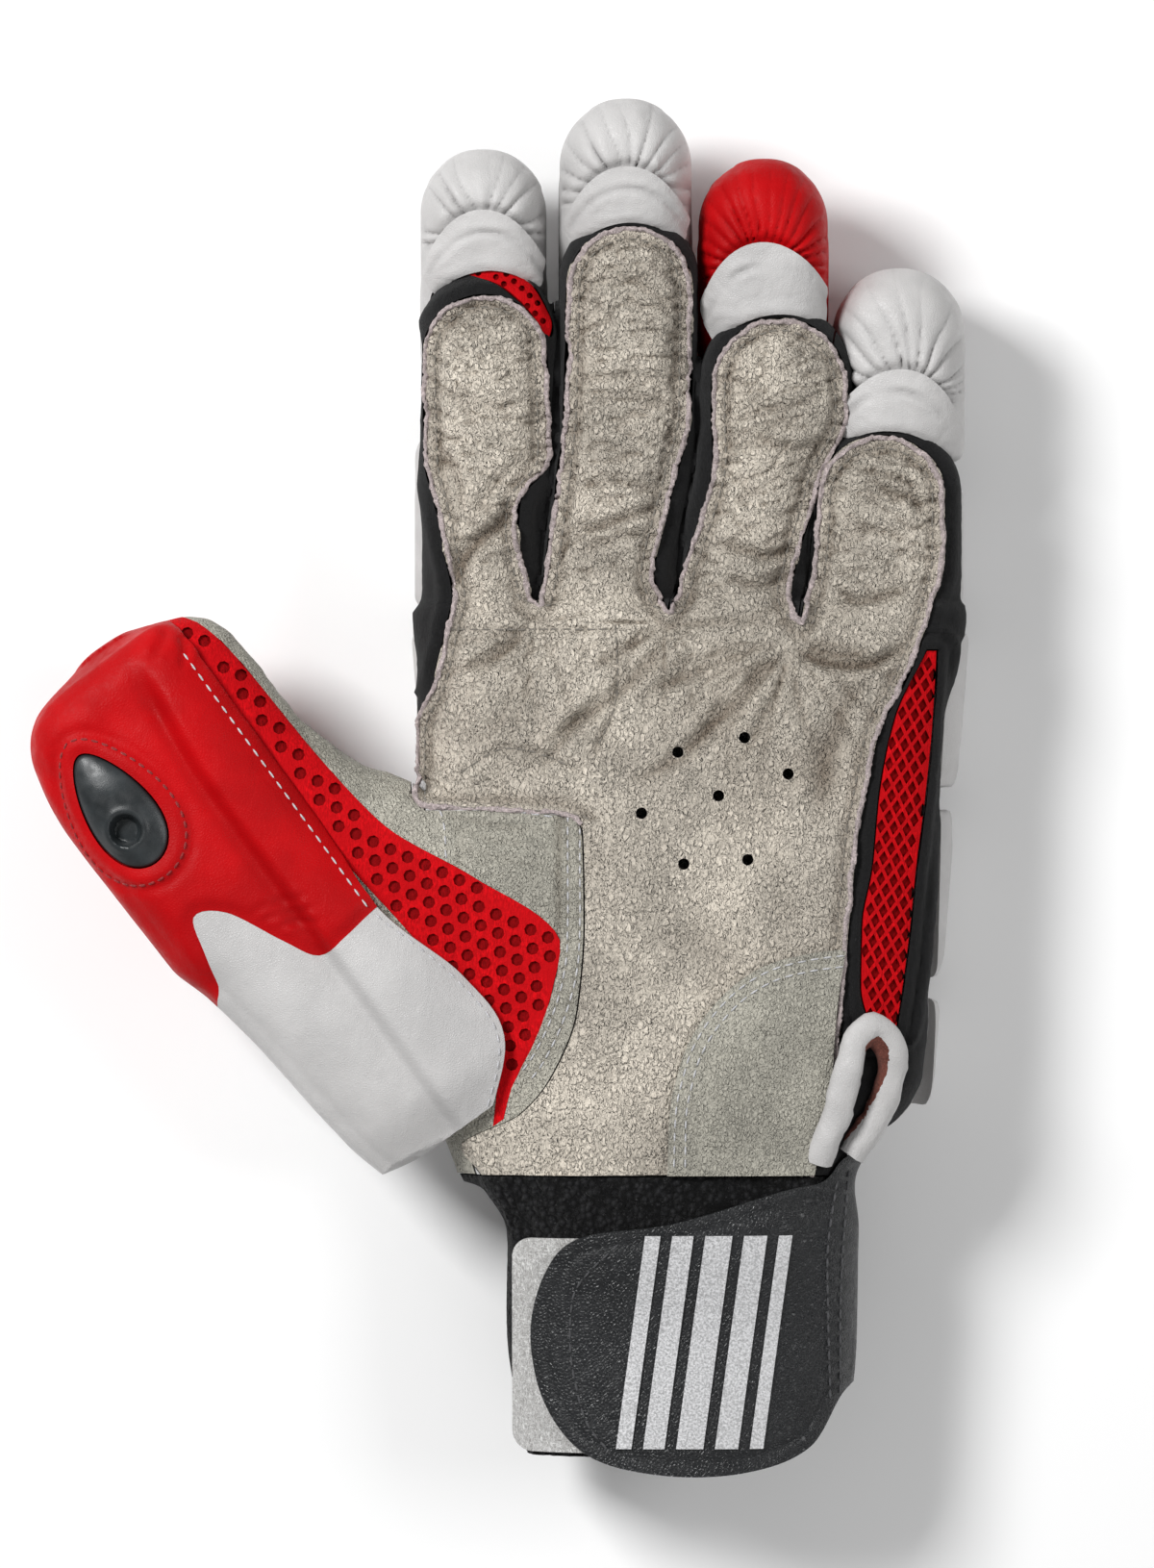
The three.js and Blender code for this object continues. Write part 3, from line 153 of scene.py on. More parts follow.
# Roll columns behind the palm: left and right at the heel, then at the knuckles, as shares of its width.
COLUMNS = {"index": (-0.42, -0.19, -0.505, -0.225), "middle": (-0.19, 0.03, -0.225, 0.038),
           "ring": (0.03, 0.25, 0.038, 0.297), "little": (0.25, 0.489, 0.297, 0.574)}
BACK_ROWS = {"wrist": (0.1, 0.325), "hand": (0.325, 0.66), "knuckle": (0.66, 0.98)}
AIR_HOLES = ((-0.45, 0.1), (-0.2, 0.52), (0.26, 0.62), (0.08, 0.22), (0.56, 0.37), (-0.16, -0.25),
             (0.28, -0.22))
LOOP_ROUTE = ((-0.84, -0.02), (-0.53, 0.3), (-0.31, 0.62), (-0.14, 0.87), (0.18, 0.98), (0.5, 0.86),
              (0.54, 0.64),
              (0.29, 0.34), (-0.22, 0.03))


# Curves through tables

def smooth(xs, ys, at):
    """Monotone curve through a table's rows, held level outside them."""
    xs, ys, at = np.asarray(xs, float), np.asarray(ys, float), np.asarray(at, float)
    step = np.diff(xs)
    rise = np.diff(ys) / step
    slope = np.zeros(len(xs))
    slope[0], slope[-1] = rise[0], rise[-1]
    for i in range(1, len(xs) - 1):
        if rise[i - 1] * rise[i] > 0:
            a, b = 2 * step[i] + step[i - 1], step[i] + 2 * step[i - 1]
            slope[i] = (a + b) / (a / rise[i - 1] + b / rise[i])
    at = np.clip(at, xs[0], xs[-1])
    i = np.clip(np.searchsorted(xs, at, side="right") - 1, 0, len(step) - 1)
    t = (at - xs[i]) / step[i]
    bend = (1 - t) * slope[i] * step[i] * t * (1 - t)
    bend -= t * slope[i + 1] * step[i] * t * (1 - t)
    blend = t * t * (3 - 2 * t)
    return ys[i] * (1 - blend) + ys[i + 1] * blend + bend


def flowing(points, step=1.0, closed=False):
    """Points about a step apart on a smooth curve through the given ones, of any dimension."""
    points = np.asarray(points, float)
    ring = np.vstack((points[-1:], points, points[:2])) if closed else np.vstack((
        2 * points[:1] - points[1:2], points, 2 * points[-1:] - points[-2:-1]))
    out = []
    for a, b, c, d in zip(ring[:-3], ring[1:-2], ring[2:-1], ring[3:]):
        count = max(1, int(round(np.linalg.norm(c - b) / step)))
        t = (np.arange(count) / count)[:, None]
        out.append(0.5 * (2 * b + (c - a) * t + (2 * a - 5 * b + 4 * c - d) * t ** 2
                          + (3 * b - a - 3 * c + d) * t ** 3))
    if not closed:
        out.append(points[-1:])
    return np.vstack(out)


def spaced(line, step):
    """The same line with points an equal step apart, and its direction at each."""
    line = np.asarray(line, float)
    lengths = np.concatenate(([0], np.cumsum(np.linalg.norm(np.diff(line, axis=0), axis=1))))
    count = max(2, int(round(lengths[-1] / step)) + 1)
    at = np.linspace(0, lengths[-1], count)
    points = np.stack([np.interp(at, lengths, line[:, k]) for k in range(line.shape[1])], axis=1)
    way = np.gradient(points, axis=0)
    return points, way / np.maximum(np.linalg.norm(way, axis=1), 1e-9)[:, None]


def photo(*pixels):
    """Places read off the front view, 0.2 mm to a pixel, in the hand's frame."""
    return [((x - 700) * 0.2, (1220 - y) * 0.2) for x, y in pixels]


def step_up(low, high, value):
    t = np.clip((value - low) / (high - low), 0, 1)
    return t * t * (3 - 2 * t)


def thumb_place(across, up):
    """Point at a length across from the guard's stitched edge and up the thumb."""
    c, s = math.cos(THUMB_TURN), math.sin(THUMB_TURN)
    return THUMB_ROOT[0] + across * c - up * s, THUMB_ROOT[1] + across * s + up * c


def thumb_lengths(points):
    """Across and up the thumb, for points in the hand's frame."""
    c, s = math.cos(THUMB_TURN), math.sin(THUMB_TURN)
    x, y = points[:, 0] - THUMB_ROOT[0], points[:, 1] - THUMB_ROOT[1]
    return x * c + y * s, y * c - x * s


# Forms: tubes of rounded-box sections along a straight way

class Form:
    def __init__(self, rows, bulge, near=None, far=None, blunt=2.0, origin=(0.0, 0.0), turn=0.0):
        """Rows hold a place along, the centre, the half width, the level and the half depth.
        near and far hold where an end starts to round off and over what length."""
        self.rows = np.asarray(rows, float).T
        self.bulge, self.near, self.far, self.blunt = bulge, near, far, blunt
        self.origin, self.c, self.s = origin, math.cos(turn), math.sin(turn)

    def local(self, points):
        x, y = points[:, 0] - self.origin[0], points[:, 1] - self.origin[1]
        return x * self.c + y * self.s, y * self.c - x * self.s

    def sections(self, along, grow=0.0):
        at, centre, half, level, depth = self.rows
        return (smooth(at, centre, along), smooth(at, half, along) + grow,
                smooth(at, level, along), smooth(at, depth, along) + grow)

    def overrun(self, along, grow=0.0):
        over = np.zeros_like(along)
        if self.far:
            over = np.maximum(over, (along - self.far[0]) / (self.far[1] + grow))
        if self.near:
            over = np.maximum(over, (self.near[0] - along) / (self.near[1] + grow))
        return over

    def field(self, points, grow=0.0):
        """About how far a point lies outside the form, which is zero on it."""
        across, along = self.local(points)
        centre, half, level, depth = self.sections(along, grow)
        over = self.overrun(along, grow)
        if self.blunt == 2.0:
            depth = depth * np.maximum(np.sqrt(np.clip(1 - over ** 2, 0, 1)), 0.3) ** -0.3
        ring = (np.abs((across - centre) / half) ** self.bulge
                + np.abs((points[:, 2] - level) / depth) ** self.bulge) ** (1 / self.bulge)
        ring = (ring ** self.blunt + over ** self.blunt) ** (1 / self.blunt)
        return (ring - 1) * np.minimum(half, depth)

    def blank(self, around=40, rings=60, grow=0.0):
        """Closed tube about on the form, shaped from a ball."""
        at = self.rows[0]
        start = self.near[0] - self.near[1] if self.near else at[0]
        end = self.far[0] + self.far[1] if self.far else at[-1]
        ball = bmesh.new()
        bmesh.ops.create_uvsphere(ball, u_segments=around, v_segments=rings, radius=1)
        mesh = mesh_from(ball)
        unit = places(mesh)
        radius = np.hypot(unit[:, 0], unit[:, 1])
        along = start + (unit[:, 2] + 1) / 2 * (end - start)
        centre, half, level, depth = self.sections(along, grow)
        over = np.clip(self.overrun(along), 0, 1)
        end_scale = (1 - over ** self.blunt) ** (1 / self.blunt)
        scale = np.minimum(np.minimum(1, radius / 0.3), np.maximum(end_scale, 0.05))
        way = unit[:, :2] / np.maximum(radius, 1e-6)[:, None]
        shape = np.sign(way) * np.abs(way) ** (2 / self.bulge)
        across = centre + shape[:, 0] * half * scale
        place = np.stack((self.origin[0] + across * self.c - along * self.s,
                          self.origin[1] + across * self.s + along * self.c,
                          level + shape[:, 1] * depth * scale), axis=1)
        set_places(mesh, place)
        return facing_out(mesh)


def smooth_min(a, b, blend):
    h = np.maximum(blend - np.abs(a - b), 0) / blend
    return np.minimum(a, b) - h * h * blend / 4


def settled(points, field, steps=4, reach=1.0):
    """Points moved onto the level where the field is zero."""
    points = points.copy()
    for _ in range(steps):
        value = field(points)
        slope = np.stack([(field(points + d) - field(points - d)) / 0.1 for d in 0.05 * np.eye(3)], axis=1)
        size = np.maximum((slope ** 2).sum(axis=1), 0.05)
        points -= slope * np.clip(value / size, -reach, reach)[:, None]
    return points


def slopes(points, field):
    slope = np.stack([field(points + d) - field(points - d) for d in 0.1 * np.eye(3)], axis=1)
    return slope / np.maximum(np.linalg.norm(slope, axis=1), 1e-9)[:, None]


# Meshes in millimetres

def mesh_from(bm):
    mesh = bpy.data.meshes.new("shape")
    bm.to_mesh(mesh)
    bm.free()
    return mesh


def places(mesh):
    flat = np.empty(len(mesh.vertices) * 3, np.float32)
    mesh.vertices.foreach_get("co", flat)
    return flat.reshape(-1, 3).astype(float)


def set_places(mesh, points):
    mesh.vertices.foreach_set("co", np.asarray(points, np.float32).ravel())
    mesh.update()


def facing_out(mesh):
    bm = bmesh.new()
    bm.from_mesh(mesh)
    bmesh.ops.remove_doubles(bm, verts=bm.verts, dist=1e-4)
    bmesh.ops.recalc_face_normals(bm, faces=bm.faces)
    bm.to_mesh(mesh)
    bm.free()
    return mesh


def through(mesh, kind, **settings):
    """The mesh as one modifier leaves it."""
    holder = bpy.data.objects.new("work", mesh)
    bpy.context.collection.objects.link(holder)
    modifier = holder.modifiers.new("work", kind)
    for key, value in settings.items():
        setattr(modifier, key, value)
    done = bpy.data.meshes.new_from_object(holder.evaluated_get(bpy.context.evaluated_depsgraph_get()))
    bpy.data.objects.remove(holder)
    return done


def remeshed(mesh, size):
    return through(mesh, "REMESH", mode="VOXEL", voxel_size=size)


def subdivided(mesh, levels=1):
    return through(mesh, "SUBSURF", levels=levels, render_levels=levels)


def cut(mesh, operation, tool):
    """The mesh with a closed tool taken away from it, added to it, or as its only part kept."""
    holder = bpy.data.objects.new("tool", tool)
    bpy.context.collection.objects.link(holder)
    done = through(mesh, "BOOLEAN", operation=operation, solver="MANIFOLD", object=holder)
    bpy.data.objects.remove(holder)
    if not done.polygons:
        raise RuntimeError("a cut left nothing")
    return done


def kept(mesh, *tools):
    for tool in tools:
        mesh = cut(mesh, "INTERSECT", tool)
    return mesh


def without(mesh, *tools):
    for tool in tools:
        mesh = cut(mesh, "DIFFERENCE", tool)
    return mesh


def joined(meshes):
    bm = bmesh.new()
    for mesh in meshes:
        bm.from_mesh(mesh)
    return mesh_from(bm)


def standing(outline, low=-60.0, high=120.0):
    """Upright solid on an outline."""
    bm = bmesh.new()
    face = bm.faces.new([bm.verts.new((x, y, low)) for x, y in outline])
    wall = bmesh.ops.extrude_face_region(bm, geom=[face])
    top = [v for v in wall["geom"] if isinstance(v, bmesh.types.BMVert)]
    bmesh.ops.translate(bm, verts=top, vec=(0, 0, high - low))
    bmesh.ops.recalc_face_normals(bm, faces=bm.faces)
    return mesh_from(bm)


def block(left, right, near, far, low=-60.0, high=120.0):
    return standing(((left, near), (right, near), (right, far), (left, far)), low, high)


def above(level_at, ys):
    """Everything above a level that changes up the glove."""
    line = [(y, float(level_at(y))) for y in ys]
    outline = [(line[0][0] - SPAN, line[0][1])] + line + [(line[-1][0] + SPAN, line[-1][1])]
    outline += [(line[-1][0] + SPAN, 200), (line[0][0] - SPAN, 200)]
    mesh = standing(outline, -200, 200)
    points = places(mesh)
    set_places(mesh, np.stack((points[:, 2], points[:, 0], points[:, 1]), axis=1))
    return facing_out(mesh)


def strip(rows, length, width, grow=0.0, place=lambda x, y: (x, y)):
    """Outline between a left and a right edge that follow a table."""
    at, left, right = np.asarray(rows, float).T
    ys = np.linspace(at[0], at[-1], 60)
    ups = ys * length
    ups[0] -= grow
    ups[-1] += grow
    rights = zip(smooth(at, right, ys) * width + grow, ups)
    lefts = zip(smooth(at, left, ys)[::-1] * width - grow, ups[::-1])
    return [place(x, y) for x, y in (*rights, *lefts)]


def tube(points, radius, sides=2, closed=False):
    """Swept round tube along points."""
    curve = bpy.data.curves.new("sweep", "CURVE")
    curve.dimensions = "3D"
    curve.bevel_depth = radius
    curve.bevel_resolution = sides
    curve.use_fill_caps = True
    spline = curve.splines.new("POLY")
    spline.points.add(len(points) - 1)
    spline.points.foreach_set("co", np.hstack((points, np.ones((len(points), 1)))).ravel())
    spline.use_cyclic_u = closed
    holder = bpy.data.objects.new("sweep", curve)
    bpy.context.collection.objects.link(holder)
    mesh = bpy.data.meshes.new_from_object(holder.evaluated_get(bpy.context.evaluated_depsgraph_get()))
    bpy.data.objects.remove(holder)
    bpy.data.curves.remove(curve)
    return facing_out(mesh)


def ruffled(mesh, amount, size, seed=0.0):
    """Vertices shaken by soft noise, as of a rough or worn edge."""
    points = places(mesh)
    shake = [noise.noise_vector(Vector(p) / size + Vector((seed, 0, 0))) for p in points]
    set_places(mesh, points + amount * np.array(shake))
    return mesh


def lookup(mesh):
    bm = bmesh.new()
    bm.from_mesh(mesh)
    tree = BVHTree.FromBMesh(bm)
    bm.free()
    return tree


def on_top(tree, line, lift=0.0):
    """A plan line laid on a surface from above, and the surface's normal under it."""
    points, ups = [], []
    level = 45.0
    for x, y in np.asarray(line)[:, :2]:
        hit, normal, _, _ = tree.ray_cast(Vector((x, y, 150)), Vector((0, 0, -1)))
        if hit is None or hit.z < level - 9 or normal.z < 0.15:
            hit, normal, _, _ = tree.find_nearest(Vector((x, y, level)))
        level = hit.z
        points.append(hit + normal * lift)
        ups.append(normal)
    return np.array(points), np.array(ups)


def stitches(line, ups, pitch=2.6, length=1.9, thick=0.42):
    """Short rounded stitches along a line that lies on a surface."""
    points, ways = spaced(np.hstack((line, ups)), pitch)
    bm = bmesh.new()
    for point, way in zip(points[:-1], ways[:-1]):
        forward = Vector(way[:3]).normalized()
        up = Vector(point[3:]).normalized()
        side = forward.cross(up).normalized()
        up = side.cross(forward)
        turn = Matrix((side * thick / 2, forward * length / 2, up * thick / 2)).transposed().to_4x4()
        turn.translation = Vector(point[:3]) + up * thick * 0.12
        bmesh.ops.create_uvsphere(bm, u_segments=6, v_segments=4, radius=1,
                                  matrix=turn @ Matrix.Rotation(math.pi / 2, 4, "X"))
    return mesh_from(bm)


def sewn_on(tree, seams, pitch, length=1.9, thick=0.42):
    """Stitches along plan lines laid on a surface from above, as one mesh."""
    return joined([stitches(*on_top(tree, spaced(seam, 0.9)[0], 0.05), pitch, length,
                            thick) for seam in seams])


def distance_to(line, points, step=0.35):
    """Plan distance from points to a line, and how far along it the nearest place is."""
    dense, _ = spaced(np.asarray(line)[:, :2], step)
    tree = KDTree(len(dense))
    for i, (x, y) in enumerate(dense):
        tree.insert((x, y, 0), i)
    tree.balance()
    found = [tree.find((x, y, 0)) for x, y in points[:, :2]]
    return np.array([f[2] for f in found]), np.array([f[1] for f in found]) / max(1, len(dense) - 1)


def inside(outline, points):
    """Whether points lie in an outline, in plan."""
    x, y = points[:, 0], points[:, 1]
    hit = np.zeros(len(points), bool)
    ring = np.asarray(outline)
    for (x0, y0), (x1, y1) in zip(ring, np.roll(ring, -1, axis=0)):
        crosses = (y0 > y) != (y1 > y)
        if crosses.any():
            hit ^= crosses & (x < (x1 - x0) * (y - y0) / (y1 - y0 + 1e-12) + x0)
    return hit


def grain(points, size, seed=0.0):
    """Soft noise at points, for a size in millimetres that may differ by direction."""
    scaled = points / np.asarray(size, float) + seed
    return np.array([noise.noise(p) for p in scaled.tolist()])


def finished(name, parts, nodes, sharp=50.0):
    """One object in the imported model's frame from meshes and their materials."""
    bm = bmesh.new()
    materials = []
    for mesh, material in parts:
        first = len(bm.faces)
        bm.from_mesh(mesh)
        bm.faces.ensure_lookup_table()
        if material not in materials:
            materials.append(material)
        index = materials.index(material)
        for face in bm.faces[first:]:
            face.material_index = index
    mesh = mesh_from(bm)
    set_places(mesh, (places(mesh) + HAND_ORIGIN) * MM)
    mesh.name = name
    for material in materials:
        mesh.materials.append(material)
    mesh.shade_smooth()
    mesh.set_sharp_from_angle(angle=math.radians(sharp))
    piece = bpy.data.objects.new(name, mesh)
    bpy.context.collection.objects.link(piece)
    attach(piece, "root")
    if nodes:
        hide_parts(*nodes)
    return piece


# The hand's form

def body_rows():
    rows = [(at * CUFF_LENGTH, left * CUFF_WIDTH, right * CUFF_WIDTH, CUFF_LOW + low * CUFF_DEPTH,
             CUFF_LOW + high * CUFF_DEPTH) for at, left, right, low, high in CUFF_ROWS]
    rows += [(at * PALM_LENGTH, left * PALM_WIDTH, right * PALM_WIDTH, ROLL_DEPTH + low * PALM_DEPTH,
              ROLL_DEPTH + high * PALM_DEPTH) for at, left, right, low, high in PALM_ROWS]
    return [(y, (left + right) / 2, (right - left) / 2, (low + high) / 2, (high - low) / 2)
            for y, left, right, low, high in rows]


BODY = Form(body_rows(), BODY_BULGE, far=(113.0, 5.0), blunt=4.0)


class Finger:
    def __init__(self, name, length, web, split, front, reach, mid, cap, wide, rows):
        self.name, self.length = name, length
        self.web = web * PALM_LENGTH
        self.tip = self.web + length
        self.split = self.web + split * length
        self.front = self.web + front * length
        self.far = self.tip + reach * TIP_REACH
        self.mid, self.cap = mid * PALM_WIDTH, cap * PALM_WIDTH
        self.half = (wide * ROLL_WIDTH - ROLL_SPACING) / 2
        self.table = np.asarray(rows, float).T
        self.radius = float(self.half_at(self.tip))
        ys = [self.web + at * length for at in self.table[0]]
        ys = [y for y in ys if y < self.tip - self.radius - 1] + [self.tip - self.radius, self.tip]
        self.form = Form([(y, self.centre_at(y), self.half_at(y), self.middle_at(y), FINGER_DEPTH / 2)
                          for y in sorted(ys + list(np.linspace(ys[0] + 3, self.tip - 2, 6)))],
                         FINGER_BULGE, far=(self.tip - self.radius, self.radius))

    def share(self, column, y):
        return smooth(self.table[0], self.table[column], (np.asarray(y, float) - self.web) / self.length)

    def centre_at(self, y):
        return self.share(1, y) * PALM_WIDTH

    def half_at(self, y):
        return self.share(2, y) * FINGER_WIDTH

    def edge_at(self, side, y):
        return self.share(3 if side < 0 else 4, y) * FINGER_WIDTH

    def lift_at(self, y):
        return FINGER_CURL * np.maximum(0, (np.asarray(y, float) - self.web) / MIDDLE_LENGTH) ** 2

    def middle_at(self, y):
        return ROLL_DEPTH + FINGER_DEPTH / 2 + self.lift_at(y)

    def side_at(self, side, y):
        """The leather front's edge at one side."""
        return self.centre_at(y) + side * (self.half_at(y) - self.edge_at(side, y))

    def front_line(self, grow=0.0):
        """Up the leather front's right side, round its tip and down its left side."""
        arc_y = self.front - (self.side_at(1, self.tip) - self.side_at(-1, self.tip)) / 2
        ys = np.linspace(self.web + 1, arc_y, 40)
        middle = (self.side_at(1, arc_y) + self.side_at(-1, arc_y)) / 2
        radius = (self.side_at(1, arc_y) - self.side_at(-1, arc_y)) / 2
        turns = np.radians(np.linspace(0, 180, 25))[1:-1]
        arc = [(middle + (radius + grow) * math.cos(t), arc_y + (self.front - arc_y + grow) * math.sin(t))
               for t in turns]
        right = [(self.side_at(1, y) + grow, y) for y in ys]
        left = [(self.side_at(-1, y) - grow, y) for y in ys[::-1]]
        return right + arc + left


HAND = [Finger(name, **facts) for name, facts in FINGERS.items()]
INDEX, MIDDLE, _, LITTLE = HAND


def thumb_form(rows, width, depth, bulge, end, blunt):
    return Form([(at * THUMB_LENGTH, (inner + outer) / 2 * width, (inner - outer) / 2 * width,
                  THUMB_MIDDLE + THUMB_CURL * at, deep * depth / 2) for at, inner, outer, deep in rows],
                bulge, far=end, blunt=blunt, origin=THUMB_ROOT, turn=THUMB_TURN)


THUMB = thumb_form(THUMB_ROWS, THUMB_WIDTH, THUMB_DEPTH, THUMB_BULGE, (0.92 * THUMB_LENGTH, 7.0), 3.0)
GUARD = thumb_form(GUARD_ROWS, GUARD_WIDTH, GUARD_DEPTH, GUARD_BULGE, (0.93 * THUMB_LENGTH, 8.0), 3.0)


def hand_field(points, grow=0.0):
    body = BODY.field(points, grow)
    whole = smooth_min(body, THUMB.field(points, grow), 7.0)
    for finger in HAND:
        whole = np.minimum(whole, smooth_min(body, finger.form.field(points, grow), 6.0))
    return whole


def hand_mesh(size, grow=0.0):
    blanks = [form.blank(grow=grow) for form in (BODY, THUMB, *(finger.form for finger in HAND))]
    mesh = remeshed(joined(blanks), size)
    set_places(mesh, settled(places(mesh), lambda p: hand_field(p, grow)))
    return mesh


def body_middle(y):
    at, _, _, level, _ = BODY.rows
    return smooth(at, level, y)


def skin_middle(y):
    """The level between the glove's palm side and its back, up the whole glove."""
    blend = step_up(104, 120, y)
    return body_middle(y) * (1 - blend) + MIDDLE.middle_at(y) * blend


def knuckle_at(x):
    start, end = float(INDEX.centre_at(INDEX.web)), float(LITTLE.centre_at(LITTLE.web))
    return INDEX.web + (x - start) / (end - start) * (LITTLE.web - INDEX.web)


def palm_outline(grow=0.0):
    """The palm leather's whole edge, from the heel's outer corner round the fingers and back."""
    at, left, right = np.asarray(PALM_EDGE).T
    ys = np.linspace(SEAM_GAP / 2 / PALM_LENGTH, 0.945, 90)
    line = [(x + grow, y) for x, y in zip(smooth(at, right, ys) * PALM_WIDTH, ys * PALM_LENGTH)]
    for finger in HAND[::-1]:
        line += finger.front_line(grow)
    ys = ys[::-1]
    line += [(x - grow, y) for x, y in zip(smooth(at, left, ys) * PALM_WIDTH, ys * PALM_LENGTH)]
    return line


LEVELS = np.linspace(-60, 210, 55)
SADDLE_TOP = 79.0
THUMB_SIDE = -54.5


def upper(grow=0.0):
    return above(lambda y: skin_middle(y) - grow, LEVELS)


def knuckle_zone(near, far):
    """Between two heights up the glove; None follows the knuckle line."""
    nears = [knuckle_at(x) + 0.02 if near is None else near for x in (-SPAN, SPAN)]
    fars = [knuckle_at(x) - 0.02 if far is None else far for x in (-SPAN, SPAN)]
    return standing(((-SPAN, nears[0]), (SPAN, nears[1]), (SPAN, fars[1]), (-SPAN, fars[0])))


def thumb_zone(grow=0.0):
    """Left of the body, and over the saddle between the thumb and the palm."""
    at, left, _ = np.asarray(PALM_EDGE).T
    ys = np.linspace(0.03, 0.64, 50)
    saddle = [(x - SEAM_GAP + grow, y) for x, y in zip(smooth(at, left, ys) * PALM_WIDTH, ys * PALM_LENGTH)]
    top = kept(standing([*saddle, (-SPAN, saddle[-1][1]), (-SPAN, saddle[0][1])]), upper(grow))
    ys = np.linspace(0, SADDLE_TOP, 30)
    centre, half, _, _ = BODY.sections(ys)
    beside = standing([*zip(centre - half + grow, ys), (THUMB_SIDE + grow, SADDLE_TOP),
                       (THUMB_SIDE + grow, 117),
                       (-SPAN, 117), (-SPAN, 0)])
    return cut(top, "UNION", beside)


# Materials

class Finish:
    """Node material whose patterns read Object coordinates, in sizes of millimetres."""

    def __init__(self, name, roughness=0.6, **sockets):
        self.material = bpy.data.materials.new(name)
        self.material.use_nodes = True
        self.nodes, self.links = self.material.node_tree.nodes, self.material.node_tree.links
        self.shader = self.nodes["Principled BSDF"]
        self.shader.inputs["Roughness"].default_value = roughness
        for key, value in sockets.items():
            self.shader.inputs[key.replace("_", " ")].default_value = value
        self.coordinates = self.nodes.new("ShaderNodeTexCoord").outputs["Object"]
        self.normal = None

    def put(self, kind, output, **inputs):
        node = self.nodes.new(kind)
        for key, value in inputs.items():
            if key[0].islower():
                setattr(node, key, value)
            else:
                self.feed(node.inputs[key.replace("_", " ")], value)
        return node.outputs[output]

    def feed(self, socket, value):
        if isinstance(value, bpy.types.NodeSocket):
            self.links.new(value, socket)
        else:
            socket.default_value = value

    def noise(self, size, detail=3.0, rough=0.55, coordinates=None, distortion=0.0):
        return self.put("ShaderNodeTexNoise", "Fac", Vector=coordinates or self.coordinates,
                        Scale=1000 / size,
                        Detail=detail, Roughness=rough, Distortion=distortion)

    def cells(self, size, feature="DISTANCE_TO_EDGE", coordinates=None):
        return self.put("ShaderNodeTexVoronoi", "Distance", feature=feature,
                        Vector=coordinates or self.coordinates, Scale=1000 / size)

    def stretched(self, scale=(1, 1, 1), turn=(0, 0, 0)):
        return self.put("ShaderNodeMapping", "Vector", Vector=self.coordinates, Scale=scale, Rotation=turn)

    def ramp(self, value, low, high, start=0.0, end=1.0):
        return self.put("ShaderNodeMapRange", "Result", interpolation_type="SMOOTHSTEP", Value=value,
                        From_Min=low, From_Max=high, To_Min=start, To_Max=end)

    def blend(self, share, first, second, kind="MIX"):
        node = self.nodes.new("ShaderNodeMix")
        node.data_type, node.blend_type = "RGBA", kind
        self.feed(node.inputs[0], share)
        self.feed(node.inputs[6], first)
        self.feed(node.inputs[7], second)
        return node.outputs[2]

    def maths(self, operation, first, second=0.0):
        node = self.nodes.new("ShaderNodeMath")
        node.operation = operation
        self.feed(node.inputs[0], first)
        self.feed(node.inputs[1], second)
        return node.outputs[0]

    def colour(self, value):
        self.feed(self.shader.inputs["Base Color"], value)

    def bump(self, height, depth, strength=1.0):
        """Relief of a depth in millimetres."""
        node = self.nodes.new("ShaderNodeBump")
        node.inputs["Strength"].default_value = strength
        node.inputs["Distance"].default_value = depth * MM
        self.feed(node.inputs["Height"], height)
        if self.normal:
            self.feed(node.inputs["Normal"], self.normal)
        self.normal = node.outputs["Normal"]
        self.feed(self.shader.inputs["Normal"], self.normal)

    def rough(self, value):
        self.feed(self.shader.inputs["Roughness"], value)


def shade(colour, share):
    return tuple(min(1.0, c * share) for c in colour[:3]) + (1.0,)


def pebbled(name, colour, cell=1.3, deep=0.6, crack_shade=0.5):
    """Soft grained leather: irregular pebbles with painted shade in the cracks between them, so their tops
    read paler, and painted shade in the folds.
    """
    look = Finish(name, roughness=0.62, Specular_IOR_Level=0.35)
    shake = look.put("ShaderNodeTexNoise", "Color", Vector=look.coordinates, Scale=1000 / 2.6, Detail=2.0)
    bent = look.put("ShaderNodeVectorMath", "Vector", operation="MULTIPLY_ADD")
    node = bent.node
    look.feed(node.inputs[0], shake)
    node.inputs[1].default_value = (0.0012, 0.0012, 0.0012)
    look.feed(node.inputs[2], look.coordinates)
    tilted = look.put("ShaderNodeMapping", "Vector", Vector=bent, Scale=(1.3, 0.78, 1.0),
                      Rotation=(0, 0, 0.4))
    pores = look.cells(cell, coordinates=tilted)
    fine = look.cells(cell * 0.45, coordinates=tilted)
    patch = look.noise(9, 3)
    tone = look.blend(look.ramp(look.noise(26, 2), 0.36, 0.64), shade(colour, 0.8), shade(colour, 1.1))
    # Crack mask: painted shade in the cracks between the pebbles, stronger in patches.
    depth = look.maths("MULTIPLY", look.ramp(pores, 0.0, 0.17, 1.0, 0.0),
                       look.ramp(patch, 0.35, 0.65, 0.3, 1.0))
    tone = look.blend(look.maths("MULTIPLY", depth, crack_shade), tone, shade(colour, 0.3))
    # Painted shade in the finer cracks as well.
    tone = look.blend(look.ramp(fine, 0.0, 0.1, 0.1, 0.0), tone, shade(colour, 0.5))
    # The fold attribute holds painted shade in folds, wrinkles and grooves.
    fold = look.put("ShaderNodeAttribute", "Fac", attribute_name="fold")
    tone = look.blend(fold, tone, (colour[0] * 0.2, colour[1] * 0.16, colour[2] * 0.13, 1.0))
    look.colour(tone)
    look.bump(look.noise(4.0, 2, 0.5, look.stretched((1.5, 0.6, 1), (0, 0, 0.4))), 1.0)
    look.bump(look.ramp(pores, 0.0, 0.32), deep)
    look.bump(look.ramp(fine, 0.0, 0.25), deep * 0.2)
    look.rough(look.ramp(patch, 0.2, 0.8, 0.52, 0.72))
    return look.material


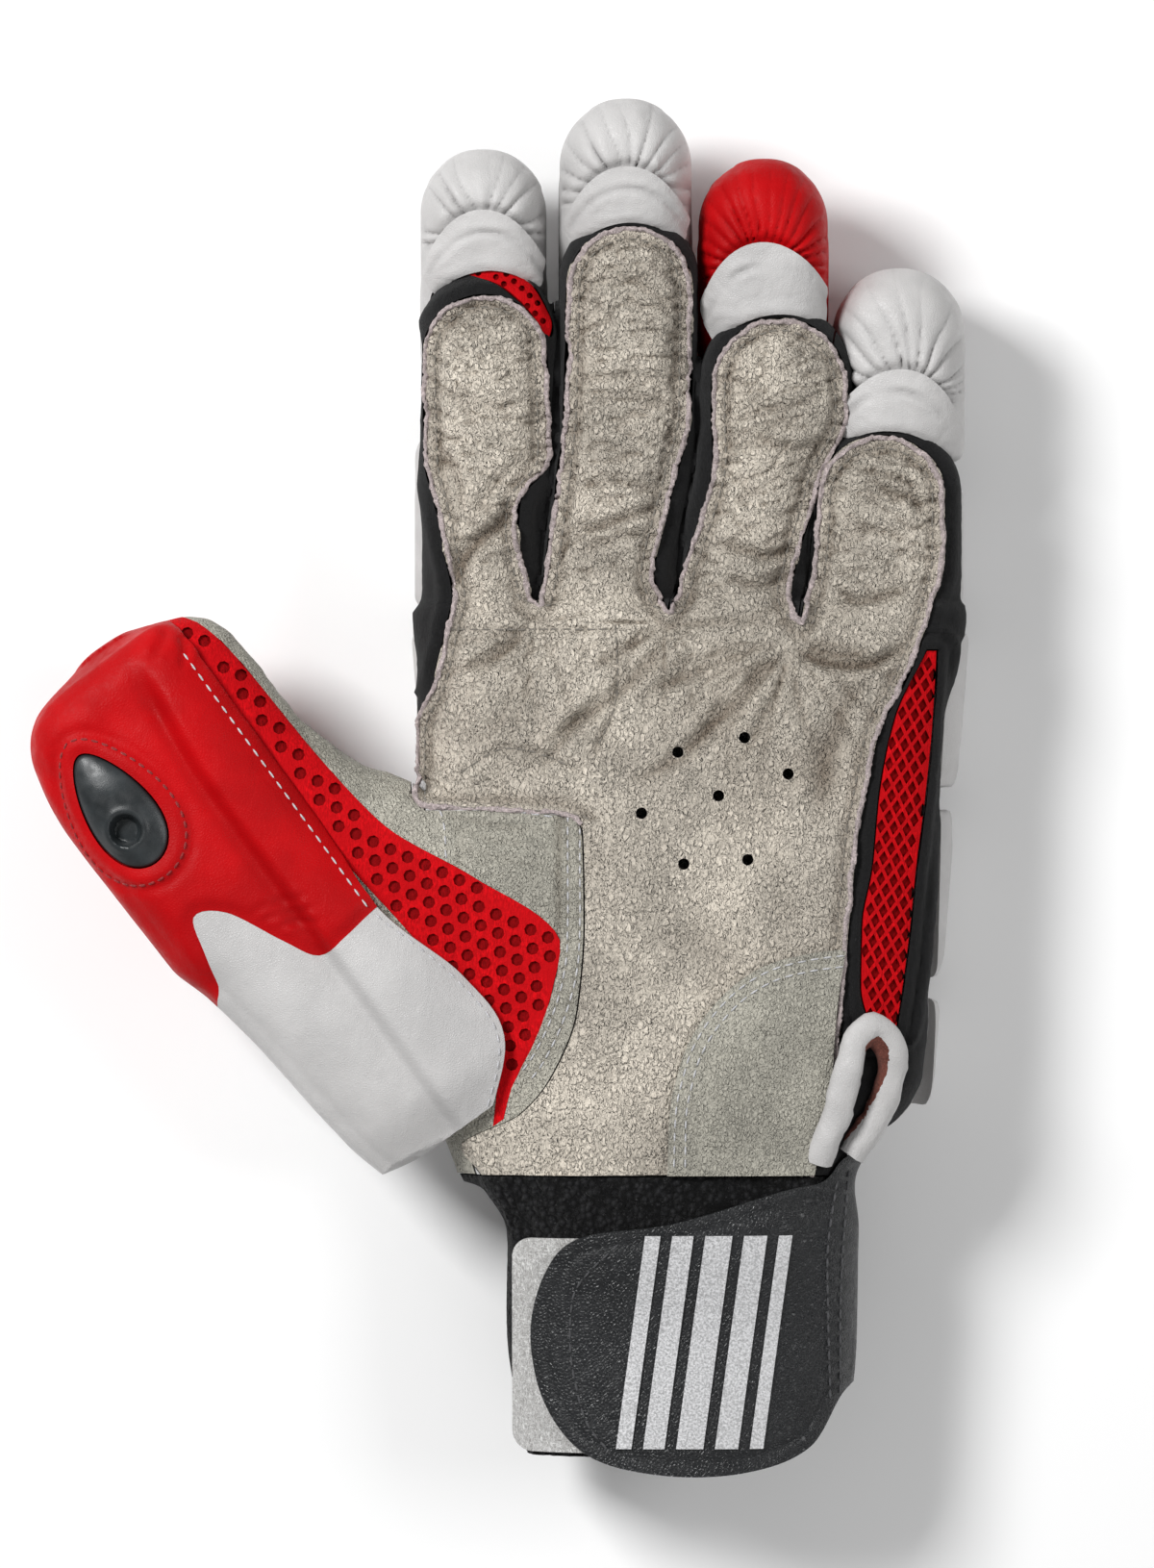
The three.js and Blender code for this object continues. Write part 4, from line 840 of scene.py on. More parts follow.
def smooth_leather(name, colour, cell=0.45, deep=0.05, roughness=0.45, crease=0.3, dirt=0.82, shine=0.4):
    look = Finish(name, roughness=roughness, Specular_IOR_Level=shine)
    tone = look.blend(look.ramp(look.noise(18, 4), 0.35, 0.7), shade(colour, dirt), shade(colour, 1.05))
    fine = look.cells(cell)
    tone = look.blend(look.ramp(fine, 0.0, 0.2, 0.12, 0.0), tone, shade(colour, 0.6))
    # The fold attribute holds painted shade in folds, pleats and grooves.
    fold = look.put("ShaderNodeAttribute", "Fac", attribute_name="fold")
    tone = look.blend(fold, tone, shade(colour, 0.45))
    look.colour(tone)
    look.bump(look.noise(7, 4, 0.6, look.stretched((1.4, 0.7, 1), (0, 0, 0.5)), 0.6), crease)
    look.bump(look.ramp(fine, 0.0, 0.35), deep)
    look.bump(look.noise(0.3, 2), 0.02)
    look.rough(look.ramp(look.noise(3, 3), 0.3, 0.7, roughness - 0.07, roughness + 0.1))
    return look.material


def felt(name, colour, fibre=(0.75, 0.75, 0.78, 1.0), size=0.35, deep=0.4):
    look = Finish(name, roughness=0.95, Specular_IOR_Level=0.15, Sheen_Weight=0.08, Sheen_Roughness=0.6)
    strands = look.noise(size, 5, 0.7, look.stretched((1, 0.35, 1), (0, 0, 0.9)), 1.5)
    cross = look.noise(size, 5, 0.7, look.stretched((0.35, 1, 1), (0, 0, 0.4)), 1.5)
    fuzz = look.maths("MAXIMUM", strands, cross)
    tone = look.blend(look.ramp(fuzz, 0.4, 0.75), shade(colour, 0.5), shade(colour, 1.7))
    tone = look.blend(look.ramp(look.noise(0.8, 4, 0.8, None, 3.0), 0.7, 0.76, 0.0, 0.55), tone, fibre)
    look.colour(tone)
    look.bump(look.noise(2.2, 3), 0.4)
    look.bump(fuzz, deep)
    return look.material


def towelling(name, colour):
    """Looped pile: small dark lumps with painted highlight on their tops and painted shade between them."""
    look = Finish(name, roughness=0.95, Specular_IOR_Level=0.1, Sheen_Weight=0.1, Sheen_Roughness=0.5)
    lumps = look.cells(1.5, "F1")
    curl = look.noise(0.7, 3, 0.7, None, 2.0)
    # Painted highlight on the lump tops (3.4) and painted shade between the lumps (0.3).
    tone = look.blend(look.ramp(lumps, 0.15, 0.6), shade(colour, 3.4), shade(colour, 0.3))
    look.colour(look.blend(look.ramp(curl, 0.6, 0.72, 0.0, 0.6), tone, (0.14, 0.14, 0.145, 1)))
    look.bump(look.ramp(lumps, 0.0, 0.7, 1.0, 0.0), 1.2)
    look.bump(curl, 0.5)
    return look.material


def net(name, colour, pitch):
    """Knitted mesh cloth: fine ribs of yarn."""
    look = Finish(name, roughness=0.8, Specular_IOR_Level=0.08)
    yarn = look.noise(0.35, 3, 0.6, look.stretched((1, 0.3, 1), (0, 0, 0.5)))
    tone = look.blend(look.ramp(yarn, 0.35, 0.7), shade(colour, 0.55), shade(colour, 1.15))
    tone = look.blend(look.ramp(look.noise(6, 3), 0.3, 0.75), shade(colour, 0.7), tone)
    look.colour(tone)
    look.bump(yarn, 0.2)
    look.bump(look.noise(pitch, 3), 0.3)
    return look.material


def plain_thread(name, colour):
    look = Finish(name, roughness=0.7, Sheen_Weight=0.3)
    twist = look.noise(0.25, 2)
    look.colour(look.blend(look.ramp(twist, 0.35, 0.7), shade(colour, 0.6), shade(colour, 1.1)))
    look.bump(twist, 0.06)
    return look.material


def rubber(name, colour):
    look = Finish(name, roughness=0.35, Specular_IOR_Level=0.5)
    look.colour(look.blend(look.ramp(look.noise(6, 3), 0.3, 0.7), shade(colour, 0.7), shade(colour, 1.3)))
    look.bump(look.noise(0.25, 2), 0.03)
    look.rough(look.ramp(look.noise(2.5, 4), 0.3, 0.75, 0.3, 0.5))
    return look.material


def foil(name, colour):
    """Worn metallic print with a coarse sparkle."""
    look = Finish(name, roughness=0.4, Metallic=0.35)
    speck = look.noise(0.45, 3, 0.7)
    tone = look.blend(look.ramp(speck, 0.35, 0.65), shade(colour, 0.62), shade(colour, 1.15))
    worn = look.ramp(look.noise(1.4, 5, 0.75), 0.66, 0.72, 0.0, 0.7)
    look.colour(look.blend(worn, tone, (0.03, 0.03, 0.032, 1)))
    look.bump(speck, 0.12)
    look.rough(look.ramp(speck, 0.3, 0.7, 0.3, 0.6))
    return look.material


# Settings

class GloveSizes(PropertyGroup):
    fine: FloatProperty(name="Fine grid", description="Facet size on the leather", default=0.8, min=0.5)
    coarse: FloatProperty(name="Coarse grid", description="Facet size on felt and the back", default=1.2,
                          min=0.8)
    pitch: FloatProperty(name="Stitch pitch", description="Spacing of stitches in millimetres", default=2.7,
                         min=1)
    swell: FloatProperty(name="Padding pressure", description="Pressure inside the padded rolls", default=4.0,
                         min=0)


def picked(name, description, value):
    return FloatVectorProperty(name=name, description=description, default=value, size=3, subtype="COLOR",
                               min=0, max=1)


class GloveColours(PropertyGroup):
    palm: picked("Palm leather", "Colour of the grained palm leather", (0.70, 0.635, 0.54))
    thumb: picked("Thumb leather", "Colour of the thumb and heel leather", (0.49, 0.47, 0.40))
    white: picked("White leather", "Colour of the padded rolls", (0.53, 0.52, 0.515))
    red: picked("Red leather", "Colour of the thumb guard", (0.47, 0.002, 0.004))
    black: picked("Black leather", "Colour of the strap", (0.012, 0.013, 0.0145))
    felt: picked("Black felt", "Colour of the gussets", (0.0065, 0.0065, 0.007))
    mesh: picked("Red mesh", "Colour of the knitted mesh", (0.66, 0.003, 0.007))
    raw: picked("Raw edge", "Colour of the leather's cut edges", (0.46, 0.39, 0.385))
    thread: picked("Thread", "Colour of the stitching", (0.62, 0.62, 0.64))
    silver: picked("Silver print", "Colour of the strap's print", (0.62, 0.62, 0.63))


SHOP = {}


def material(name):
    """The glove's materials, made once."""
    if "palm" not in SHOP:
        hue = bpy.context.scene.glove_colours
        SHOP["palm"] = pebbled("palm_leather", hue.palm)
        SHOP["thumb"] = pebbled("thumb_leather", hue.thumb, 0.95, 0.4, 0.35)
        SHOP["raw"] = felt("raw_edge", hue.raw, (0.7, 0.63, 0.63, 1), 0.4, 0.3)
        SHOP["white"] = smooth_leather("white_leather", hue.white, roughness=0.42, dirt=0.9)
        SHOP["red"] = smooth_leather("red_leather", hue.red, 0.6, 0.03, 0.5, 0.25, 0.8, 0.1)
        SHOP["black"] = smooth_leather("black_leather", hue.black, 0.7, 0.1, 0.36, 0.4, 0.7)
        SHOP["felt"] = felt("black_felt", hue.felt)
        SHOP["towel"] = towelling("towelling", hue.felt)
        SHOP["net"] = net("red_mesh", hue.mesh, 1.5)
        # Backing under the mesh holes: a real layer, its colour darkened to 0.42 of the mesh as painted shade
        # in the holes.
        SHOP["shaded_net_floor"] = net("red_mesh_backing", shade(hue.mesh, 0.42), 1.0)
        SHOP["thread"] = plain_thread("grey_thread", hue.thread)
        SHOP["red_thread"] = plain_thread("red_thread", shade(hue.red, 0.6))
        # Palm hem stitches: real thread, coloured as the palm leather at 0.3, which is painted shade in their
        # stitch grooves.
        SHOP["hem_thread"] = plain_thread("hem_thread", shade(hue.palm, 0.3))
        SHOP["dark_thread"] = plain_thread("dark_thread", (0.06, 0.06, 0.065))
        SHOP["hook"] = felt("hook_fabric", (0.62, 0.60, 0.58), (0.85, 0.85, 0.85, 1), 0.5, 0.5)
        SHOP["rubber"] = rubber("vent_rubber", (0.018, 0.022, 0.024))
        SHOP["foil"] = foil("silver_print", hue.silver)
        SHOP["lining"] = felt("loop_lining", (0.16, 0.05, 0.035), (0.3, 0.15, 0.1, 1))
    return SHOP[name]


SKINS = {}


def skin(name):
    """The hand's smooth skin, made once for each size: fine, coarse, and the hollow inside."""
    if name not in SKINS:
        sizes = bpy.context.scene.glove_sizes
        facts = {"fine": (sizes.fine, 0.0), "coarse": (sizes.coarse, 0.0), "hollow": (2.2, -3.1)}
        SKINS[name] = hand_mesh(*facts[name])
    return SKINS[name]


def shelled(outer):
    return cut(outer, "DIFFERENCE", skin("hollow"))


# Relief

# Folds of the palm leather: points on the front view, depth and width in millimetres.
PALM_FOLDS = (
    (((543, 528), (520, 548), (500, 563), (482, 583), (472, 603), (470, 622)), 2.3, 1.7),
    (((822, 668), (836, 682), (860, 690), (890, 693), (920, 684), (944, 668)), 1.7, 1.2),
    (((830, 662), (850, 676), (880, 682), (905, 676)), 0.7, 0.9),
    (((822, 672), (790, 700), (752, 742), (700, 790), (650, 815)), 1.1, 1.7),
    (((812, 668), (770, 680), (720, 700), (665, 722)), 0.9, 1.3),
    (((824, 676), (808, 715), (786, 760), (765, 800)), 0.7, 1.2),
    (((700, 655), (672, 690), (640, 722), (600, 750), (560, 775)), 1.0, 1.5),
    (((557, 652), (530, 675), (500, 690), (474, 700)), 0.8, 1.2),
    (((688, 652), (650, 676), (612, 694)), 0.7, 1.1),
    (((625, 730), (600, 752), (575, 782), (560, 800)), 0.9, 1.2),
    (((640, 655), (641, 690), (640, 725), (632, 752), (620, 780), (612, 805)), 0.6, 0.8),
    (((472, 657), (520, 656), (580, 655), (640, 656)), 0.5, 0.8),
    (((483, 801), (500, 788), (521, 779), (545, 780), (559, 783), (595, 798), (612, 812)), 0.5, 0.9),
    (((590, 552), (625, 548), (660, 536), (690, 528)), 1.2, 1.2),
    (((600, 575), (640, 560), (672, 553)), 0.7, 1.1),
    (((596, 506), (640, 503), (684, 508)), 0.7, 1.0),
    (((590, 402), (640, 394), (700, 398)), 0.6, 1.1),
    (((594, 300), (640, 296), (690, 304)), 0.5, 1.1),
    (((745, 568), (780, 574), (800, 580), (836, 566)), 1.3, 1.2),
    (((752, 600), (785, 610), (806, 606), (836, 590)), 0.9, 1.1),
    (((736, 470), (790, 462), (830, 470), (862, 458)), 0.7, 1.1),
    (((748, 420), (790, 428), (858, 415)), 0.5, 1.1),
    (((905, 500), (925, 515), (948, 520), (962, 540)), 1.5, 1.2),
    (((884, 486), (910, 494), (935, 500), (962, 512)), 0.9, 1.1),
    (((864, 610), (886, 624), (912, 622), (952, 612)), 1.1, 1.1),
    (((866, 560), (905, 552), (950, 562)), 0.6, 1.1),
    (((450, 400), (480, 420), (520, 425), (556, 415)), 0.5, 1.3),
    (((450, 470), (475, 500), (480, 540)), 0.6, 1.2),
    (((560, 470), (530, 490), (505, 520), (480, 556)), 0.6, 1.3),
    (((905, 700), (880, 730), (860, 790), (850, 860)), 0.9, 3.0),
)
# Places between the fingers that wrinkles run out from, with how far they reach.
WEBS = (((557, 648), 26.0), ((690, 646), 24.0), ((822, 668), 34.0))


def folds(points, creases):
    """How deep creases press into points, and the painted shade in them."""
    depth, painted_shade = np.zeros(len(points)), np.zeros(len(points))
    for pixels, deep, wide in creases:
        line = flowing(photo(*pixels), 0.8)
        away, along = distance_to(line, points)
        taper = np.clip(np.minimum(along, 1 - along) * 5, 0, 1)
        valley = np.exp(-(away / wide) ** 2) * taper
        ridge = np.exp(-((away - 2 * wide) / (1.1 * wide)) ** 2) * taper
        depth += deep * (0.4 * ridge - valley)
        painted_shade = np.maximum(painted_shade, np.exp(-(away / (0.7 * wide)) ** 2) * taper * min(0.75, deep * 0.42))
    return depth, painted_shade


def palm_relief(points):
    """Heights of the palm leather over the hand's form: sewn edges, puffed panels, folds and wrinkles; and
    the painted shade in its folds, wrinkles, edge groove and low spots.
    """
    edge, _ = distance_to(palm_outline(), points)
    edge = np.where(inside(palm_outline(), points), edge, -edge)
    puff = 0.7 * step_up(2.2, 8.0, edge) - 0.5
    groove = -0.55 * np.exp(-((edge - 2.5) / 0.9) ** 2)
    rim = 0.7 * np.exp(-((edge - 0.4) / 1.0) ** 2)
    depth, painted_shade = folds(points, PALM_FOLDS)
    x, y = points[:, 0], points[:, 1]
    finger = step_up(112, 128, y)
    across = grain(points + 2.5 * np.sin(x / 7)[:, None] * (0, 1, 0), (9.0, 2.6, 9.0), 3.0)
    across = np.maximum(0, 1 - np.abs(across) * 5) ** 2
    fans = np.zeros(len(points))
    for spot, reach in WEBS:
        (wx, wy), = photo(spot)
        radius, turn = np.hypot(x - wx, y - wy), np.arctan2(y - wy, x - wx)
        rays = grain(np.stack((turn * 2.6, radius / 30, 0 * turn), axis=1), 1.0, wx)
        rays = np.maximum(0, 1 - np.abs(rays) * 4.0) ** 1.5
        fans = np.maximum(fans, rays * np.exp(-(radius / reach) ** 2) * step_up(1.0, 5.0, radius)
                          * (turn < 0.2))
    slant = np.stack(((x - y) * 0.7, (x + y) * 0.7, points[:, 2]), axis=1)
    web = np.exp(-((x - 10) / 30) ** 2 - ((y - 104) / 16) ** 2) + np.exp(-((x + 28) / 14) ** 2
                                                                         - ((y - 108) / 14) ** 2)
    long_folds = np.maximum(0, 1 - np.abs(grain(slant, (3.2, 13.0, 12.0), 9.0)) * 4.5) ** 2
    swell = grain(points, (15.0, 19.0, 15.0), 5.0) + 0.45 * grain(points, (6.5, 5.5, 6.5), 6.0)
    wrinkle = finger * across * 0.95 + np.clip(web, 0, 1) * long_folds * 0.6 + 1.0 * fans
    flat = (x < -8) & (y < 0.625 * PALM_LENGTH)
    sewn = np.where(flat, 0.3, puff + groove + rim)
    height = np.maximum(sewn + 1.2 * depth - wrinkle + 1.1 * swell * np.where(flat, step_up(0, 6, edge), 1),
                        -2.0)
    # Painted shade: folds, wrinkles, the groove beside the sewn edge and the swell's low spots.
    painted_shade = 1.2 * painted_shade + 0.45 * wrinkle + 0.4 * np.exp(-((edge - 2.2) / 1.2) ** 2) * ~flat
    painted_shade = np.clip(painted_shade + 0.25 * np.clip(-swell - 0.1, 0, 1), 0, 0.85)
    return height, painted_shade


def raised(mesh, relief, field):
    """The mesh moved out by a relief, with the painted shade of its folds kept as an attribute."""
    points = places(mesh)
    height, painted_shade = relief(points)
    set_places(mesh, points + slopes(points, field) * height[:, None])
    fold = mesh.attributes.new("fold", "FLOAT", "POINT")
    fold.data.foreach_set("value", painted_shade.astype(np.float32))
    return mesh


# Pieces of the hand's skin

class GLOVE_OT_palm(Operator):
    """Palm leather with its sewn edges, folds, air holes and stitching"""
    bl_idname = "glove.palm"
    bl_label = "Palm leather"

    def execute(self, context):
        front = kept(skin("fine"), standing(palm_outline()), upper())
        front = raised(front, palm_relief, hand_field)
        sheet = shelled(front)
        holes = []
        x, y = 0.062 * PALM_WIDTH, 0.61 * PALM_LENGTH
        for across, up in AIR_HOLES:
            bm = bmesh.new()
            bmesh.ops.create_cone(bm, cap_ends=True, segments=16, radius1=AIR_HOLE_RADIUS,
                                  radius2=AIR_HOLE_RADIUS, depth=30,
                                  matrix=Matrix.Translation((x + across * HOLE_SPREAD, y + up * HOLE_SPREAD,
                                                             46)))
            holes.append(mesh_from(bm))
        sheet = without(sheet, joined(holes))
        tree = lookup(sheet)
        rim = [(x, y) for x, y in palm_outline(-0.4) if x > 0 or y > WELT_LOW]
        line, _ = on_top(tree, spaced(rim, 0.6)[0], 0.15)
        welt = ruffled(ruffled(tube(line, 0.52), 0.4, 0.6), 0.5, 4.0, 3.0)
        seams = [[(x, y) for x, y in palm_outline(-2.4) if x > 0 or y > WELT_LOW]]
        for pixels in (((470, 655), (555, 655), (640, 655)), ((640, 655), (641, 725), (620, 780)),
                       ((483, 801), (521, 779), (559, 783), (595, 798))):
            seams.append(flowing(photo(*pixels), 1.0))
        sewn = sewn_on(tree, seams, context.scene.glove_sizes.pitch)
        finished("palm_leather_dressed", [(sheet, material("palm")), (welt, material("raw")),
                                          (sewn, material("hem_thread"))],
                 ("palm_leather",))
        return {"FINISHED"}


def felt_relief(points):
    """Uneven cloth, in folded layers beside the outer side's mesh and thick round the fingers' edges."""
    height = 0.3 * grain(points, 9.0, 2.0) + 0.2 * grain(points, (3.0, 6.0, 4.0),
                                                         7.0) + 0.12 * grain(points, 1.3, 1.0)
    outline = strip(SIDE_MESH, PALM_LENGTH, PALM_WIDTH)
    away, _ = distance_to(outline + outline[:1], points)
    layers = 0.7 * np.exp(-((away - 1.3) / 0.9) ** 2) - 0.6 * np.exp(-((away - 3.3) / 0.5) ** 2)
    layers += 0.5 * np.exp(-((away - 4.6) / 0.8) ** 2) - 0.5 * np.exp(-((away - 6.3) / 0.5) ** 2)
    height += layers * (points[:, 1] < knuckle_at(points[:, 0]) + 8)
    edge, _ = distance_to(palm_outline(), points)
    height += 0.8 * np.exp(-((edge - 2.2) / 1.1) ** 2) * (points[:, 1] > 100)
    return height, np.zeros(len(points))


THUMB_FOLDS = (
    (((452, 800), (470, 830), (480, 870), (478, 910)), 0.5, 1.0),
    (((400, 805), (440, 835), (500, 855), (570, 862)), 0.6, 1.2),
    (((450, 850), (500, 868), (560, 880)), 0.4, 1.0),
    (((470, 880), (520, 892), (570, 900)), 0.3, 1.0),
    (((300, 735), (325, 770), (350, 800)), 0.4, 1.2),
)


class GLOVE_OT_thumb_leather(Operator):
    """Leather of the thumb's stall and of the saddle to the palm"""
    bl_idname = "glove.thumb_leather"
    bl_label = "Thumb leather"

    def execute(self, context):
        zone = thumb_zone()
        mesh_tool = standing(strip(THUMB_MESH, THUMB_LENGTH, THUMB_WIDTH, 0.05, thumb_place),
                             THUMB_MIDDLE + 2)
        outer = kept(skin("fine"), zone, block(-SPAN, SPAN, SEAM_GAP / 2, SPAN))
        outer = without(outer, mesh_tool, kept(standing(palm_outline(0.05)), upper(0.05)))
        saddle = flowing(photo((583, 850), (583, 900), (583, 960), (580, 1005), (568, 1050), (548, 1092),
                               (532, 1112)),
                         1.0)

        def relief(points):
            depth, painted_shade = folds(points, THUMB_FOLDS)
            away, _ = distance_to(saddle, points)
            right = inside([*saddle, (60, -5), (60, 74)], points)
            groove = np.exp(-((away - 0.5) / 0.6) ** 2) * ~right
            level, _ = distance_to(palm_outline(), points)
            rough = 0.35 * grain(points, 9.0, 2.0) + 0.2 * grain(points, (4.0, 2.0, 4.0), 7.0)
            depth = (depth + rough) * step_up(0, 6, level) + np.where(right, 0.3, 0) - 0.5 * groove
            rows = sum(np.exp(-((away - gap) / 0.5) ** 2) for gap in SADDLE_ROWS) * right
            # Painted shade in the folds, the saddle's groove and the stitch rows.
            return depth - 0.25 * rows, np.clip(painted_shade + 0.5 * groove + 0.3 * rows, 0, 0.8)
        sheet = shelled(raised(outer, relief, hand_field))
        tree = lookup(sheet)
        way = spaced(saddle, 1.0)
        beside = np.stack((-way[1][:, 1], way[1][:, 0]), axis=1)
        base = flowing(photo((455, 832), (463, 860), (465, 900)), 1.0)
        top = flowing(photo((440, 828), (500, 838), (583, 850)), 1.0)
        sewn = sewn_on(tree, [*(way[0] + gap * beside for gap in SADDLE_ROWS), base, top],
                       context.scene.glove_sizes.pitch)
        finished("thumb_leather_dressed", [(sheet, material("thumb")), (sewn, material("thread"))],
                 ("thumb_leather",))
        return {"FINISHED"}


class GLOVE_OT_felt(Operator):
    """Black felt gussets between and round the fingers, and the bands beside the palm"""
    bl_idname = "glove.felt"
    bl_label = "Felt gussets and bands"

    def execute(self, context):
        front = kept(standing(palm_outline(SEAM_GAP)), upper(SEAM_GAP))
        rest = without(skin("coarse"), front, thumb_zone(SEAM_GAP))
        body = kept(rest, knuckle_zone(SEAM_GAP / 2, None))
        side = kept(body, block(0, SPAN, -SPAN, SPAN), upper())
        side_tool = standing(strip(SIDE_MESH, PALM_LENGTH, PALM_WIDTH, SEAM_GAP))
        index_tool = kept(block(-SPAN, -PALM_WIDTH / 4, SADDLE_TOP + 0.1, SPAN), upper())
        beside = kept(block(0, SPAN, -SPAN, SPAN), upper(SEAM_GAP))
        wide_tool = kept(block(-SPAN, -PALM_WIDTH / 4, SADDLE_TOP, SPAN), upper(SEAM_GAP))
        bands = {"side_band": without(side, side_tool), "index_band": kept(body, index_tool)}
        fingers = kept(rest, knuckle_zone(None, SPAN))
        ys = np.linspace(0.94, 1.8, 40) * PALM_LENGTH
        for i, finger in enumerate(HAND):
            edges = []
            for k in (i - 1, i):
                if k in (-1, 3):
                    edges.append(np.full(len(ys), -SPAN if k < 0 else SPAN))
                    continue
                a, b = HAND[k], HAND[k + 1]
                middle = (a.centre_at(ys) + a.half_at(ys) + b.centre_at(ys) - b.half_at(ys)) / 2
                edges.append(middle + (SEAM_GAP / 2 if k == i - 1 else -SEAM_GAP / 2))
            outline = [*zip(edges[1], ys), *zip(edges[0][::-1], ys[::-1])]
            gusset = kept(fingers, standing(outline))
            if finger is INDEX:
                bands["index_mesh"] = kept(gusset, index_crescent(0.0))
                gusset = without(gusset, index_crescent(SEAM_GAP))
            bands["gusset_" + finger.name] = gusset
        for name, mesh in bands.items():
            cloth = "net" if name == "index_mesh" else "felt"
            mesh = raised(mesh, felt_relief, hand_field)
            parts = [(shelled(mesh), material(cloth))]
            if cloth == "net":
                parts = netted(mesh, crescent_outline(-0.5), 2.2, 0.6, 0.3)
            finished(name + "_dressed", parts, (name,))
        back = without(body, beside, wide_tool)
        finished("back_panel_dressed", [(shelled(raised(back, felt_relief, hand_field)), material("white"))],
                 ("back_panel",))
        mesh_strip = standing(strip(SIDE_MESH, PALM_LENGTH, PALM_WIDTH))
        finished("side_mesh_dressed", netted(kept(side, mesh_strip),
                                             strip(SIDE_MESH, PALM_LENGTH, PALM_WIDTH, -0.3),
                                             2.7, 0.7, -0.13, 1.6, 4), ("side_mesh",))
        return {"FINISHED"}


def crescent_outline(grow):
    """Pointed crescent between two dark arcs over the index finger's leather."""
    reach = INDEX.radius - 1.3 + grow
    x, y = float(INDEX.centre_at(INDEX.tip)), INDEX.tip - INDEX.radius
    share = np.linspace(0, 1, 36)
    turns = np.radians(-8 + 120 * share)
    inner = reach - (4.0 + 2 * grow) * np.sin(np.pi * share) ** 0.6 - 0.02
    return [(x + r * math.cos(t), y + r * math.sin(t))
            for r, t in (*zip(np.full(36, reach), turns), *zip(inner[::-1], turns[::-1]))]


def index_crescent(grow):
    floor = above(lambda v: INDEX.middle_at(v) + FINGER_DEPTH / 12 - grow, LEVELS)
    return kept(standing(crescent_outline(grow)), floor)


def netted(outer, outline, pitch, open_share, turn, long=1.0, sides=8):
    """Mesh cloth with holes through its own layer, over a backing whose darker colour is painted shade in the
    holes. long stretches the holes.
    """
    cloth = shelled(outer)
    points = places(cloth)
    low, high = points.min(axis=0), points.max(axis=0)
    bm = bmesh.new()
    c, s = math.cos(turn), math.sin(turn)
    span = int(max(high - low) / pitch) + 3
    middle = (low + high) / 2
    for row in range(-span, span):
        for column in range(-span, span):
            u = (column + 0.5 * (row % 2)) * pitch
            v = row * pitch * (0.5 if sides == 4 else 0.866) * long
            spot = np.array(((middle[0] + u * c - v * s, middle[1] + u * s + v * c),))
            if not inside(outline, spot)[0]:
                continue
            shape = Matrix.Translation((spot[0, 0], spot[0, 1], 30)) @ Matrix.Rotation(turn, 4, "Z")
            bmesh.ops.create_cone(bm, cap_ends=True, segments=sides, radius1=pitch * open_share / 2,
                                  radius2=pitch * open_share / 2, depth=200,
                                  matrix=shape @ Matrix.Diagonal((1, long, 1, 1)))
    holes = mesh_from(bm)
    # The backing sits 0.75 mm under the holes; its darker colour is painted shade.
    lower = cloth.copy()
    inner = places(lower)
    set_places(lower, inner - slopes(inner, hand_field) * 0.75)
    return [(without(cloth, holes), material("net")), (lower, material("shaded_net_floor"))]


class GLOVE_OT_thumb_mesh(Operator):
    """Red mesh with round holes between the thumb's guard and its leather"""
    bl_idname = "glove.thumb_mesh"
    bl_label = "Thumb mesh"

    def execute(self, context):
        outline = strip(THUMB_MESH, THUMB_LENGTH, THUMB_WIDTH, 0.0, thumb_place)
        outer = kept(skin("fine"), standing(outline, THUMB_MIDDLE + 3), thumb_zone())
        inner = strip(THUMB_MESH, THUMB_LENGTH, THUMB_WIDTH, -1.4, thumb_place)
        finished("thumb_mesh_dressed", netted(outer, inner, 3.9, 0.68, THUMB_TURN), ("thumb_mesh",))
        return {"FINISHED"}


class GLOVE_OT_heel_patch(Operator):
    """Quarter-round patch of coarser leather at the heel, sewn twice round its arc"""
    bl_idname = "glove.heel_patch"
    bl_label = "Heel patch"

    def execute(self, context):
        edge = photo((845, 1219), (855, 1170), (862, 1130), (868, 1050), (876, 995), (878, 988))
        arc = photo((872, 986), (840, 990), (800, 1000), (765, 1020), (735, 1050), (715, 1082), (705, 1110),
                    (696, 1150), (693, 1219))
        outline = [*flowing(edge, 1.0), *flowing(arc, 1.0)]
        layer = without(hand_mesh(0.9, 1.5), hand_mesh(1.4, 0.4))
        sheet = kept(layer, standing(outline), above(lambda y: body_middle(y) + PALM_DEPTH / 5, LEVELS))
        tree = lookup(sheet)
        ring = flowing(arc, 1.0)
        inward = np.array(photo((850, 1219))[0]) - ring
        inward /= np.linalg.norm(inward, axis=1)[:, None]
        sewn = sewn_on(tree, [ring + inward * inset for inset in (1.3, 3.6)], context.scene.glove_sizes.pitch)
        finished("heel_patch_dressed", [(sheet, material("thumb")), (sewn, material("thread"))],
                 ("heel_patch",))
        return {"FINISHED"}


# Wrist

def body_layer(inner, outer, size):
    def grown(amount, voxel, reach):
        rows = BODY.rows.T.copy()
        form = Form(rows, BODY_BULGE, near=(-58 - reach, 4), far=(30.0, 8.0), blunt=4.0)
        mesh = remeshed(form.blank(64, 60, amount), voxel)
        set_places(mesh, settled(places(mesh), lambda p: form.field(p, amount)))
        return mesh
    return without(grown(outer, size, 4.0), grown(inner, size * 1.5, 14.0))


